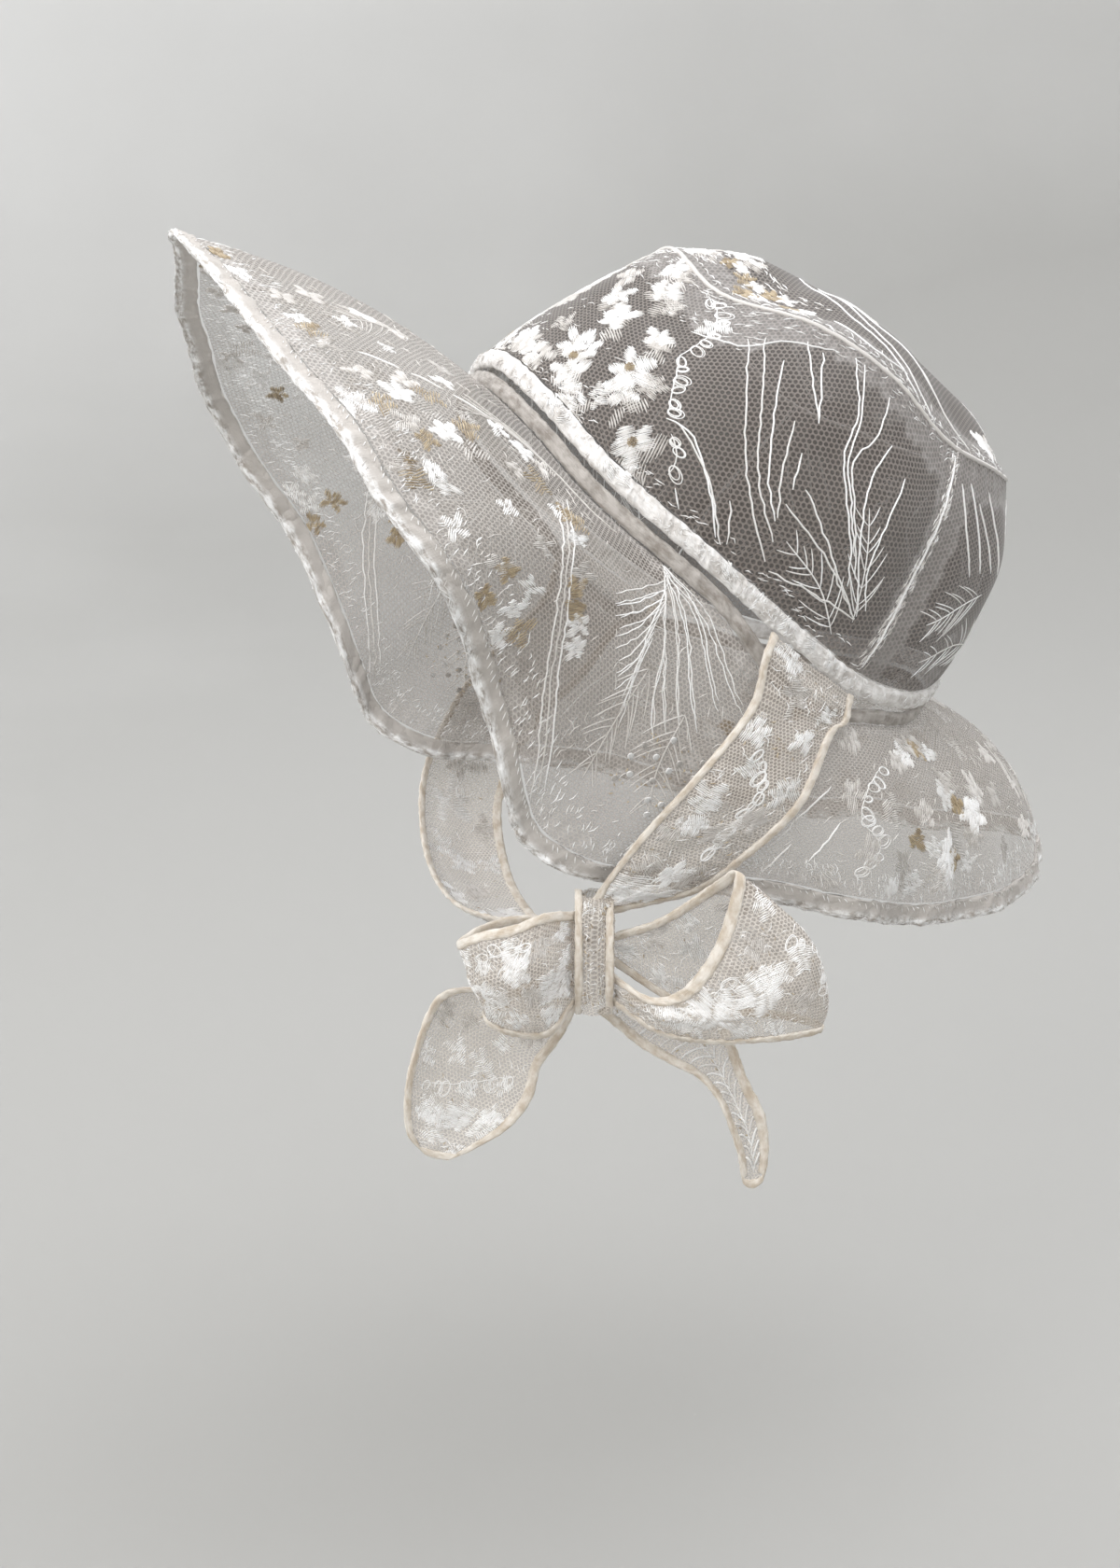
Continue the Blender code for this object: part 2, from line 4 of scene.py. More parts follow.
import bpy
import numpy as np
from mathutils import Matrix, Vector


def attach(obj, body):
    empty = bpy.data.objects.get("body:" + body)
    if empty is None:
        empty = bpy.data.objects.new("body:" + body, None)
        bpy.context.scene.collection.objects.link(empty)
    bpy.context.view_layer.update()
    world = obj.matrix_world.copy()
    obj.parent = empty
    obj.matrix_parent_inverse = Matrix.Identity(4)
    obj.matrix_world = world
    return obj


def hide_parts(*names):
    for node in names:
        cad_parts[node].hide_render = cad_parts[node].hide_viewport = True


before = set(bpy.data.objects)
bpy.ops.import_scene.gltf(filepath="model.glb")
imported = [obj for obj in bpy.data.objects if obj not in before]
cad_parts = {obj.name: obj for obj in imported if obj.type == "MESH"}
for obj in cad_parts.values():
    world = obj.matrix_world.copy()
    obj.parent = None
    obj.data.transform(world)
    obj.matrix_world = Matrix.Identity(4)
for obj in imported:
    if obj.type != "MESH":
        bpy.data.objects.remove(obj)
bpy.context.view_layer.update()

# Tables are in millimetres and meshes in metres. The front of the hat faces -Y, its left side
# as worn is +X, and the origin is the centre of the head opening.
MM = 0.001

# The stitches draw from this one after another, so a change in their order moves the later ones
CHANCE = np.random.default_rng(11)

# Head opening, tapes and gaps, as in the solids
SEWN_GAP, CORNER_GAP, SEAM_GAP = 0.3, 0.75, 0.62
OPENING_LENGTH, OPENING_WIDTH = 196.0, 168.0
OPENING_TILT = math.radians(35.6)
DOWN_AXIS = (math.sin(OPENING_TILT), math.cos(OPENING_TILT))
CLOTH = 1.2                   # thickness of the solids' cloth
CROWN_TAPE_HEIGHT, CROWN_TAPE_THICKNESS = 6.5, 3.2
HEAD_TAPE_HEIGHT, HEAD_TAPE_THICKNESS = 4.6, 2.4
EDGE_TAPE_DEPTH, EDGE_TAPE_THICKNESS = 8.0, 3.4
RIBBON_TAPE_WIDTH = 2.4
GROOVE = 1.2
SLOT_HEIGHT = 7.5
SLOT_ANGLE, SLOT_HALF_ANGLE = 100.0, 26.0
SLOT_FRONT_ANGLE, SLOT_BACK_ANGLE = 88.0, 113.0
SEWN_END = {"out": 0.7, "up": -0.5}
FIRST_OUTSIDE = {"out": 4.6, "up": -9.0}
SIDE_SEAM_ANGLE = 112.0

DipRow = namedtuple("DipRow", "angle dip")
DIPS = [DipRow(0, 0), DipRow(24, 5.5), DipRow(46, 15), DipRow(70, 21), DipRow(92, 25.5),
        DipRow(112, 26.5), DipRow(134, 19), DipRow(158, 6), DipRow(180, 0)]

CrownRow = namedtuple("CrownRow", "angle height belly")
CROWN = [CrownRow(0, 67, 2), CrownRow(32, 59, 5), CrownRow(60, 66, 9), CrownRow(82, 66, 10),
         CrownRow(104, 61, 9), CrownRow(132, 66, 8), CrownRow(158, 70, 7), CrownRow(180, 71, 7)]
TIP_LENGTH, TIP_WIDTH, TIP_BACK = 149.0, 124.0, 6.5
TIP_TOP = 88.0
TIP_ROUNDNESS = 2.2

DentRow = namedtuple("DentRow", "angle rise half_angle half_rise depth")
WALL_DENTS = [DentRow(28, 0.80, 16, 0.30, -3.0), DentRow(96, 0.62, 13, 0.30, 2.6),
              DentRow(112, 0.42, 9, 0.40, -3.0), DentRow(140, 0.70, 14, 0.30, 3.0),
              DentRow(160, 0.45, 12, 0.35, -3.2), DentRow(-60, 0.60, 18, 0.35, -3.0),
              DentRow(-105, 0.45, 16, 0.35, 3.0), DentRow(-150, 0.60, 14, 0.30, -3.0),
              DentRow(66, 0.30, 14, 0.30, -2.0), DentRow(180, 0.80, 14, 0.25, -2.4)]
TIP_DENTS = [DentRow(48, 0.22, 22, 0.20, -4.0), DentRow(14, 0.30, 18, 0.25, 2.5),
             DentRow(92, 0.30, 20, 0.25, 2.0), DentRow(124, 0.25, 16, 0.25, -3.5),
             DentRow(160, 0.30, 18, 0.25, 2.5), DentRow(-40, 0.35, 22, 0.25, -3.0),
             DentRow(-110, 0.30, 24, 0.25, -3.0)]
DENT_FALL = 1.6

BrimRow = namedtuple("BrimRow", "angle side back up belly fold")
BRIM = [BrimRow(0, 0, -185, 103, 7, 0), BrimRow(7, 17, -180, 95, 7, 0),
        BrimRow(14, 38, -175.5, 84, 8, 0), BrimRow(22, 58, -171, 73, 9, 0.3),
        BrimRow(31, 80, -162, 57, 10, 0.6), BrimRow(41, 99, -153, 37, 10, 0.8),
        BrimRow(51, 106, -139, 13, 10, 1.0), BrimRow(59, 99, -125, -11, 10, 1.6),
        BrimRow(67, 88, -115, -38, 9, 2.2), BrimRow(75, 81, -106, -67, 8, 2.4),
        BrimRow(83, 79, -97, -84, 8, 2.2), BrimRow(90, 78, -78, -95, 8, 1.8),
        BrimRow(97, 80, -55, -100, 8, 1.2), BrimRow(105, 84, -25, -106, 8, 1.2),
        BrimRow(116, 88, 8, -116, 9, 1.8), BrimRow(128, 80, 38, -125, 10, 2.4),
        BrimRow(142, 72, 64, -129, 11, 3.0), BrimRow(156, 55, 94, -133, 12, 2.6),
        BrimRow(168, 32, 118, -132, 12, 1.6), BrimRow(180, 0, 137, -130, 12, 0)]
FOLDS_ROUND = 22
FOLD_DRIFT = 1.1

KNOT = np.array((79.0, -75.2, -117.1))
KNOT_TURN = math.radians(21.4)
KNOT_AXES = np.array(((math.sin(KNOT_TURN), math.cos(KNOT_TURN), 0.0),
                      (math.cos(KNOT_TURN), -math.sin(KNOT_TURN), 0.0),
                      (0.0, 0.0, 1.0)))
KnotRow = namedtuple("KnotRow", "up half_width half_depth shift")
KNOT_ROWS = [KnotRow(17.3, 4.2, 5.0, 0.8), KnotRow(13, 6.0, 7.4, 0.4), KnotRow(4, 6.5, 8.4, 0.0),
             KnotRow(-6, 6.5, 8.6, 0.0), KnotRow(-15, 6.4, 7.6, 0.0), KnotRow(-22, 5.2, 5.6, 0.8)]
KNOT_SQUARENESS = 0.7

RibbonRow = namedtuple("RibbonRow", "first middle second")
STRAP = [RibbonRow((90, -28, -41), (91, -13, -48), (87, 4, -54)),
         RibbonRow((93, -47, -60), (95, -30, -67), (93, -9, -74)),
         RibbonRow((90.5, -63, -77), (93, -47, -83), (92, -28, -90)),
         RibbonRow((87, -72.5, -90.5), (89.5, -60.5, -95), (86.5, -42, -101)),
         RibbonRow((81.8, -77, -100.4), (84.6, -73, -102), (80.9, -70, -106.6))]
CHIN = [RibbonRow((-86, -78, -104), (-86, -64, -112), (-84, -46, -116)),
        RibbonRow((-58, -87, -124), (-58, -72, -132), (-56, -54, -134)),
        RibbonRow((-22, -90, -131), (-22, -75, -139), (-22, -58, -140)),
        RibbonRow((14, -87, -127), (14, -74, -135), (15, -60, -137)),
        RibbonRow((44, -82, -118), (44, -74, -125), (45, -65, -128)),
        RibbonRow((68.8, -76.5, -111), (68.3, -74.3, -116), (68.8, -72, -121))]
LOOP_BACK = [RibbonRow((5.9, 3.6, -8), (6.1, 4.8, -13.5), (5.9, 3.6, -19)),
             RibbonRow((16, 12, -12.4), (19, 16, -19), (20, 10, -26)),
             RibbonRow((24, 16, -11), (32, 20, -19), (34, 14, -28)),
             RibbonRow((31, 18, -4), (45, 21, -16), (49, 16, -27)),
             RibbonRow((38.5, 17, 9), (58, 19, -8), (61, 15, -26.5)),
             RibbonRow((43.5, 12.5, 28), (70, 11, 1), (72, 8, -26.5)),
             RibbonRow((37.5, 6.5, 23), (58, 3, 0), (62, 1, -25.5)),
             RibbonRow((29, 5, 16), (41, 0, -3), (44, -1, -24.5)),
             RibbonRow((19, 4, 9.5), (24, 0, -5), (26, -2, -21)),
             RibbonRow((5.9, 1.8, 4.2), (6.1, 0, -1), (5.9, -1, -7.2))]
LOOP_FRONT = [RibbonRow((-5.9, 3.6, 12.6), (-6.1, 6, -3), (-5.9, 3.6, -18.6)),
              RibbonRow((-15, 12, 15), (-17, 18, -7), (-14, 10, -27)),
              RibbonRow((-25, 15, 12), (-27, 21, -8), (-25, 13, -26)),
              RibbonRow((-35, 14, 9.5), (-35, 18, -7), (-33, 12, -23)),
              RibbonRow((-43, 7, 4), (-39, 9, -8), (-33.5, 5, -20)),
              RibbonRow((-35, 0, 7), (-31, -1, -6), (-27, -1, -19)),
              RibbonRow((-22, -3, 9), (-20, -4.4, -4), (-18, -3, -16)),
              RibbonRow((-5.9, -1.4, 8), (-6.1, -2.4, -1), (-5.9, -1.4, -9))]
TAIL_FRONT = [RibbonRow((-6.9, -4.6, -13.5), (-6.0, -5.4, -17.5), (-5.2, -5.0, -22.4)),
              RibbonRow((-20, -9.5, -17.5), (-14, -10, -24), (-8, -8, -31)),
              RibbonRow((-37, -10, -18), (-25, -12, -28), (-12, -9, -38.5)),
              RibbonRow((-50, -6, -19.5), (-36, -12, -34), (-17, -9, -46)),
              RibbonRow((-57, -1, -33), (-41, -8, -45), (-20, -7, -56.5)),
              RibbonRow((-61, 1, -49), (-46, -4, -58), (-27.5, -3, -65)),
              RibbonRow((-61, 1, -64), (-50, -1, -68.5), (-38, -1, -71)),
              RibbonRow((-56, 0, -72.5), (-51, 0, -74.4), (-46.5, 0, -74.8))]
TAIL_BACK = [RibbonRow((1.3, -4.3, -24.9), (5.1, -5.2, -22.0), (8.1, -4.9, -17.9)),
             RibbonRow((8, -5, -31), (12.5, -9, -26), (17, -6.5, -20.5)),
             RibbonRow((16, -6, -38), (23, -12, -31), (31, -7, -23.5)),
             RibbonRow((26, -6, -44), (33, -11, -36), (41, -6, -27)),
             RibbonRow((34, -4, -47.5), (39, -8, -43), (46, -3, -36)),
             RibbonRow((40.5, -1, -54), (44, -4, -51), (50, 0, -46)),
             RibbonRow((44.5, 1, -63), (49, -2, -61), (55.5, 2, -57.5)),
             RibbonRow((47.5, 1, -73.5), (52, -1, -72), (57.5, 1, -69.5)),
             RibbonRow((48.4, 0, -82), (52.4, 0, -85), (56.8, 0, -81.2))]
ANGLE_STEP = 1.5


# Reading the tables: every function takes one place or an array of places

def smooth(stations, values, at):
    """A smooth curve through the values at the stations."""
    slopes = np.gradient(values, stations, axis=0)
    at = np.asarray(at, float)
    i = np.clip(np.searchsorted(stations, at) - 1, 0, len(stations) - 2)
    span = stations[i + 1] - stations[i]
    t = (at - stations[i]) / span
    if values.ndim > 1:
        t, span = t[..., None], span[..., None]
    return (values[i] * (1 + 2 * t) * (1 - t) ** 2 + values[i + 1] * t * t * (3 - 2 * t)
            + span * (slopes[i] * t * (1 - t) ** 2 - slopes[i + 1] * t * t * (1 - t)))


def folded_angle(angle):
    return (np.asarray(angle, float) + 180) % 360 - 180


def round_reader(rows, column, odd=False):
    """A column read all round the hat; an odd column changes sign on the far side."""
    angles = [row.angle for row in rows]
    values = [getattr(row, column) for row in rows]
    sign = -1 if odd else 1
    front = [(-angles[i], sign * values[i]) for i in (2, 1)]
    back = [(360 - angles[i], sign * values[i]) for i in (-2, -3)]
    pairs = np.array(front + list(zip(angles, values)) + back, float)

    def read(angle):
        folded = folded_angle(angle)
        value = smooth(pairs[:, 0], pairs[:, 1], np.abs(folded))
        return np.where(folded < 0, -value, value) if odd else value
    return read


dip_at = round_reader(DIPS, "dip")
seam_height_at = round_reader(CROWN, "height")
wall_belly_at = round_reader(CROWN, "belly")
edge_side_at = round_reader(BRIM, "side", odd=True)
edge_back_at = round_reader(BRIM, "back")
edge_up_at = round_reader(BRIM, "up")
brim_belly_at = round_reader(BRIM, "belly")
brim_fold_at = round_reader(BRIM, "fold")


def unit(vector):
    return vector / np.linalg.norm(vector, axis=-1, keepdims=True)


def column_of(value):
    return np.asarray(value, float)[..., None]


def run_of(steps):
    """Length along a path at each of its points, from the steps between them."""
    return np.concatenate(([0], np.cumsum(np.linalg.norm(steps, axis=-1))))


def squared(ripple, power):
    """A sine or cosine pushed outwards, for a section between a circle and a square."""
    return np.sign(ripple) * np.abs(ripple) ** power


def turned(xs, ys, turn):
    """Offsets turned by an angle."""
    return xs * math.cos(turn) - ys * math.sin(turn), xs * math.sin(turn) + ys * math.cos(turn)


def bend(start, middle, end, t):
    """Point on the curve that passes the middle half way."""
    control = 2 * middle - (start + end) / 2
    t = column_of(t)
    return start * (1 - t) ** 2 + control * 2 * t * (1 - t) + end * t * t


# Surfaces of the hat

def tilted(side, along, up):
    """World point from the opening's own axes: side, back along it, up square to it."""
    side, along, up = np.broadcast_arrays(*(np.asarray(v, float) for v in (side, along, up)))
    return np.stack((side, along * DOWN_AXIS[1] + up * DOWN_AXIS[0],
                     -along * DOWN_AXIS[0] + up * DOWN_AXIS[1]), -1)


def head_ring(angle, out=0.0, up=0.0):
    """The rim of the head opening; angle 0 is the front and 90 the left side as worn."""
    turn = np.radians(angle)
    half_length, half_width = OPENING_LENGTH / 2, OPENING_WIDTH / 2
    outward = unit(np.stack((np.sin(turn) / half_width, -np.cos(turn) / half_length), -1))
    return tilted(half_width * np.sin(turn) + out * outward[..., 0],
                  -half_length * np.cos(turn) + out * outward[..., 1], up - dip_at(angle))


def ring_outward(angle):
    return unit(head_ring(angle, out=1.0) - head_ring(angle))


def slot_at(angle):
    """How far the groove opens for the ribbon at each side."""
    away = (np.abs(folded_angle(angle)) - SLOT_ANGLE) / SLOT_HALF_ANGLE
    return np.where(np.abs(away) < 1, SLOT_HEIGHT * np.cos(away * math.pi / 2) ** 2, 0.0)


def dent_at(dents, angle, rise):
    """Depth of the soft dents and bulges at a place."""
    depth = 0.0
    for row in dents:
        away = folded_angle(angle - row.angle) / row.half_angle
        higher = (rise - row.rise) / row.half_rise
        depth = depth + row.depth * np.exp(-(away * away + higher * higher) * DENT_FALL)
    return depth


def tip_seam(angle):
    turn = np.radians(angle)
    return tilted(TIP_WIDTH / 2 * np.sin(turn), TIP_BACK - TIP_LENGTH / 2 * np.cos(turn),
                  seam_height_at(angle))


def crown_point(angle, rise):
    """The crown's wall, from the crown tape (rise 0) to the tip seam (rise 1)."""
    foot = head_ring(angle, up=CROWN_TAPE_HEIGHT + CORNER_GAP)
    top = tip_seam(angle)
    bulge = wall_belly_at(angle) + dent_at(WALL_DENTS, angle, rise)
    return (bend(foot, (foot + top) / 2, top, rise)
            + ring_outward(angle) * column_of(bulge * 4 * rise * (1 - rise)))


def tip_point(angle, inward):
    """The crown's tip, from its seam (inward 0) to its middle (inward 1)."""
    seam = tip_seam(angle)
    middle = tilted(0.0, TIP_BACK, TIP_TOP)
    flat_middle = tilted(0.0, TIP_BACK, seam_height_at(angle))
    lift = 1 - (1 - inward) ** TIP_ROUNDNESS
    dent = dent_at(TIP_DENTS, angle, inward) * np.minimum(1.0, 6 * inward) * (1 - inward ** 2)
    return (seam + (flat_middle - seam) * column_of(inward)
            + (middle - flat_middle) * column_of(lift) + tilted(0, 0, dent))


def brim_edge(angle):
    return np.stack((edge_side_at(angle), edge_back_at(angle), edge_up_at(angle)), -1)


def brim_top(angle):
    """How far below the opening's rim the brim's cloth starts."""
    return GROOVE + slot_at(angle) + HEAD_TAPE_HEIGHT + CORNER_GAP + CLOTH / 2


def brim_point(angle, reach):
    """The brim, from its head tape (reach 0) to its outer edge (reach 1)."""
    head, edge = head_ring(angle, up=-brim_top(angle)), brim_edge(angle)
    along = brim_edge(angle + ANGLE_STEP) - brim_edge(angle - ANGLE_STEP)
    ring_along = head_ring(angle + ANGLE_STEP) - head_ring(angle - ANGLE_STEP)
    outward = unit(np.cross(edge - head, unit(along) + unit(ring_along)))
    folded = np.radians(folded_angle(angle))
    fold = brim_fold_at(angle) * np.sin(FOLDS_ROUND * folded + FOLD_DRIFT * np.sin(3 * folded))
    middle = (head + edge) / 2 + outward * column_of(brim_belly_at(angle))
    return bend(head, middle, edge, reach) + outward * column_of(fold * reach * reach)


def from_knot(row):
    """A row of the bow's tables, moved from the knot's axes to the hat's."""
    return RibbonRow(*(KNOT + np.array(point) @ KNOT_AXES for point in row))


def mirrored(row):
    return RibbonRow(*(np.array(point) * (-1, 1, 1) for point in row))


def slot_rows():
    """The sewn end of a ribbon in its slot: under the crown tape, then out over the brim."""
    middle = (SLOT_FRONT_ANGLE + SLOT_BACK_ANGLE) / 2
    places = (SLOT_FRONT_ANGLE, middle, SLOT_BACK_ANGLE)
    return [RibbonRow(*(head_ring(angle, **SEWN_END) for angle in places)),
            RibbonRow(*(head_ring(angle, **FIRST_OUTSIDE) for angle in places))]


def ribbon_surface(rows):
    """Point on a ribbon: station counts its rows, across runs from its first edge to its second."""
    stations = np.arange(len(rows), dtype=float)
    tracks = [np.array([row[i] for row in rows], float) for i in range(3)]

    def point(station, across):
        first, middle, second = (smooth(stations, track, station) for track in tracks)
        return bend(first, middle, second, across)
    return point


# Fine grids that cloth and threads share

class Patch:
    """Points and outward directions on a surface, read between its grid points."""

    def __init__(self, surface, firsts, seconds, closed=False, outward=1, shaping=None):
        self.firsts, self.seconds = np.asarray(firsts, float), np.asarray(seconds, float)
        self.closed, self.outward = closed, outward
        self.grid = np.meshgrid(self.firsts, self.seconds, indexing="ij")
        self.points = surface(*self.grid)
        self.measure()
        if shaping is not None:
            self.points = self.points + self.normals * column_of(shaping(*self.grid))
            self.measure()

    def measure(self):
        """Outward directions, from the points on both sides of each point."""
        if self.closed:
            along = np.roll(self.points, -1, 0) - np.roll(self.points, 1, 0)
        else:
            along = np.gradient(self.points, axis=0)
        across = np.gradient(self.points, axis=1)
        self.normals = unit(np.cross(along, across) + 1e-12) * self.outward

    def at(self, first, second):
        """Points and outward directions at any places of the patch."""
        u = (np.asarray(first, float) - self.firsts[0]) / (self.firsts[1] - self.firsts[0])
        v = (np.asarray(second, float) - self.seconds[0]) / (self.seconds[1] - self.seconds[0])
        columns, rows = len(self.firsts), len(self.seconds)
        u = u % columns if self.closed else np.clip(u, 0, columns - 1.001)
        v = np.clip(v, 0, rows - 1.001)
        i, j = np.floor(u).astype(int) % columns, np.floor(v).astype(int)
        k = (i + 1) % columns
        du, dv = (u - np.floor(u))[..., None], (v - j)[..., None]

        def mixed(values):
            return ((values[i, j] * (1 - dv) + values[i, j + 1] * dv) * (1 - du)
                    + (values[k, j] * (1 - dv) + values[k, j + 1] * dv) * du)
        return mixed(self.points), unit(mixed(self.normals))

    def spans(self, first, second):
        """Length in mm of one unit of each coordinate at a place."""
        here = self.at(first, second)[0]
        steps = [self.firsts[1] - self.firsts[0], self.seconds[1] - self.seconds[0]]
        if not self.closed and first > self.firsts[-1] - 2 * steps[0]:
            steps[0] *= -1
        if second > self.seconds[-1] - 2 * steps[1]:
            steps[1] *= -1
        along = np.linalg.norm(self.at(first + steps[0], second)[0] - here) / abs(steps[0])
        across = np.linalg.norm(self.at(first, second + steps[1])[0] - here) / abs(steps[1])
        return along, across

    def run_along(self, places):
        """Length along a path of places in millimetres, and the usual spans there."""
        spans = np.array([self.spans(*place) for place in places]).mean(0)
        return run_of(np.diff(places, axis=0) * spans), spans


def grid_object(name, points, material, pattern, closed=(False, False), flip=False, pole=None):
    """A smooth sheet or tube from a grid of points in millimetres. The pattern gives each
    corner's place on the flat cloth, with one more column or row than the points where the
    grid is closed."""
    columns, rows = points.shape[:2]
    faces, corners = [], []
    for i in range(columns - (not closed[0])):
        for j in range(rows - (not closed[1])):
            places = [(i, j), (i + 1, j), (i + 1, j + 1), (i, j + 1)]
            if flip:
                places.reverse()
            faces.append([(a % columns) * rows + b % rows for a, b in places])
            corners += [pattern[a, b] for a, b in places]
    points = points.reshape(-1, 3)
    if pole is not None:
        for i in range(columns):
            faces.append([i * rows + rows - 1, (i + 1) % columns * rows + rows - 1, len(points)])
            corners += [pattern[i, -1], pattern[i + 1, -1], (0.0, 0.0)]
        points = np.concatenate((points, pole[None]))
    mesh = bpy.data.meshes.new(name)
    mesh.from_pydata((points * MM).tolist(), [], faces)
    mesh.materials.append(material)
    layer = mesh.uv_layers.new(name="cloth_mm")
    layer.data.foreach_set("uv", np.asarray(corners, np.float32).ravel())
    mesh.shade_smooth()
    made = bpy.data.objects.new(name, mesh)
    bpy.context.collection.objects.link(made)
    return made


def cloth_object(name, patch, material, flat_place, pole=None, double=None):
    """One sheer sheet; flat_place gives its flat pattern in millimetres, and double tells
    where the cloth is turned in or doubled (up to 1) or thinner than usual (below 0)."""
    firsts = patch.firsts
    if patch.closed:
        firsts = np.append(firsts, firsts[0] + len(firsts) * (firsts[1] - firsts[0]))
    pattern = np.stack(flat_place(*np.meshgrid(firsts, patch.seconds, indexing="ij")), -1)
    made = grid_object(name, patch.points, material, pattern, (patch.closed, False),
                       patch.outward < 0, pole)
    if double is not None:
        values = np.clip(double(*patch.grid), -1, 1).ravel()
        layer = made.data.attributes.new("doubled_cloth", "FLOAT", "POINT")
        layer.data.foreach_set("value", np.append(values, [0.0] * (pole is not None)))
    return made


class Threads:
    """Collects the paths of stitched strands; Geometry Nodes sweep one mesh along them."""

    def __init__(self):
        self.paths, self.across, self.above, self.marks = [], [], [], []

    def strand(self, path, normals, width, height=None, ends=0.35):
        """A strand along a path, slimmer at its ends; it shows on both faces of the cloth."""
        tangent = unit(np.gradient(path, axis=0) + 1e-9)
        side = unit(np.cross(tangent, normals) + 1e-9)
        reach = np.linspace(-1, 1, len(path))
        full = ends + (1 - ends) * np.sqrt(np.clip(1 - np.abs(reach) ** 6, 0, 1))
        lengths = run_of(np.diff(path, axis=0))
        shade = np.full(len(path), CHANCE.random())
        self.paths.append(path)
        self.across.append(-side * column_of(full * width / 2))
        self.above.append(normals * column_of(full * (height or width * 0.6)))
        self.marks.append(np.stack((lengths, shade, 0 * lengths), -1))

    def on(self, patch, first, second, width, height=None, lift=0.05, ends=0.35):
        """A strand through places on a patch."""
        points, normals = patch.at(first, second)
        self.strand(points + normals * lift, normals, width, height, ends)

    def curve(self, patch, places, width, step=2.2, drift=0.0, ends=0.35):
        """A strand along a smooth curve through a few places."""
        places = np.array(places, float)
        run, spans = patch.run_along(places)
        at = np.linspace(0, run[-1], max(3, int(run[-1] / step) + 1))
        read = smooth(run, places, at) if len(places) > 2 else (
            places[0] + (places[1] - places[0]) * (at / run[-1])[:, None])
        if drift:
            read = read + drift * CHANCE.normal(size=read.shape) / spans
        self.on(patch, read[:, 0], read[:, 1], width, ends=ends)

    def local(self, patch, place, xs, ys, width, **more):
        """A strand given in millimetres round a place."""
        along, across = patch.spans(*place)
        self.on(patch, place[0] + np.asarray(xs) / along, place[1] + np.asarray(ys) / across,
                width, **more)

    def made(self, name, material):
        """The strands of one kind as one plain mesh, swept along their paths."""
        counts = [len(path) for path in self.paths]
        starts = np.cumsum([0] + counts)
        edges = [(i, i + 1) for start, n in zip(starts, counts) for i in range(start, start + n - 1)]
        paths = bpy.data.meshes.new(name + "_paths")
        paths.from_pydata((np.concatenate(self.paths) * MM).tolist(), edges, [])
        for key, rows, scale in (("across", self.across, MM), ("above", self.above, MM),
                                 ("mark", self.marks, 1.0)):
            layer = paths.attributes.new(key, "FLOAT_VECTOR", "POINT")
            layer.data.foreach_set("vector", (np.concatenate(rows) * scale).ravel())
        made = bpy.data.objects.new(name, paths)
        bpy.context.collection.objects.link(made)
        sweep = made.modifiers.new("strands", "NODES")
        sweep.node_group = STRAND_TREE
        sockets = {item.name: item.identifier for item in STRAND_TREE.interface.items_tree}
        for key, value in (("Sides", STRAND_SIDES), ("Underside share", STRAND_UNDERSIDE),
                           ("Thread", material)):
            sweep[sockets[key]] = value
        seen = made.evaluated_get(bpy.context.evaluated_depsgraph_get())
        swept = bpy.data.meshes.new_from_object(seen)
        made.modifiers.remove(sweep)
        made.data = swept
        bpy.data.meshes.remove(paths)
        for key in STRAND_NOTES:
            swept.attributes.remove(swept.attributes[key])
        swept.name = name
        swept.shade_smooth()
        return made


# Embroidery motifs, in millimetres round a place on a patch

def satin_oval(threads, patch, place, middle, half, turn, way, spacing):
    """An oval filled with ragged side-by-side stitches; half gives its long and short half."""
    long_way = np.array((math.cos(turn), math.sin(turn)))
    wide_way = np.array((-long_way[1], long_way[0]))
    stitch_way = np.array((math.cos(way), math.sin(way)))
    next_way = np.array((-stitch_way[1], stitch_way[0]))
    a = np.array((stitch_way @ long_way / half[0], stitch_way @ wide_way / half[1]))
    b = np.array((next_way @ long_way / half[0], next_way @ wide_way / half[1]))
    reach = 1 / math.sqrt(b @ b - (a @ b) ** 2 / (a @ a))
    for offset in np.arange(-reach + spacing / 2, reach, spacing):
        root = math.sqrt(max(0.0, (offset * (a @ b)) ** 2 - (a @ a) * (offset * offset * (b @ b) - 1)))
        first = (-offset * (a @ b) - root) / (a @ a) - CHANCE.uniform(-0.3, 0.9)
        last = (-offset * (a @ b) + root) / (a @ a) + CHANCE.uniform(-0.3, 0.9)
        ends = [middle + next_way * offset + stitch_way * u for u in (first, (first + last) / 2, last)]
        ends = np.array(ends) + CHANCE.normal(size=(3, 2)) * 0.06
        threads.local(patch, place, ends[:, 0], ends[:, 1], 0.6, height=0.42)


def flower(threads, patch, place, size, turn=0.0, petals=5, spacing=0.5):
    """Uneven petals filled with satin stitches that all lean about one way."""
    way = math.radians(turn * 1.7 + CHANCE.uniform(-30, 30))
    for petal in range(petals):
        out = math.radians(turn + (petal + CHANCE.uniform(-0.22, 0.22)) * 360 / petals)
        half = size * CHANCE.uniform(0.15, 0.29), size * CHANCE.uniform(0.10, 0.17)
        middle = np.array((math.cos(out), math.sin(out))) * (half[0] * 0.95 + 0.04 * size)
        satin_oval(threads, patch, place, middle, half, out + CHANCE.normal() * 0.2,
                   way + CHANCE.normal() * 0.2, spacing)


def flower_centre(gold, patch, place, size):
    """A knot of small loops in the middle of a flower."""
    for ring, count in ((0.35, 5), (0.75, 8)):
        for k in range(count):
            way = 2 * math.pi * (k / count + CHANCE.random() * 0.05)
            middle = np.array((math.cos(way), math.sin(way))) * ring * size / 2
            turn = np.linspace(0, 2 * math.pi, 6)
            gold.local(patch, place, middle[0] + 0.42 * np.cos(turn), middle[1] + 0.42 * np.sin(turn),
                       0.34, height=0.5, lift=0.3)


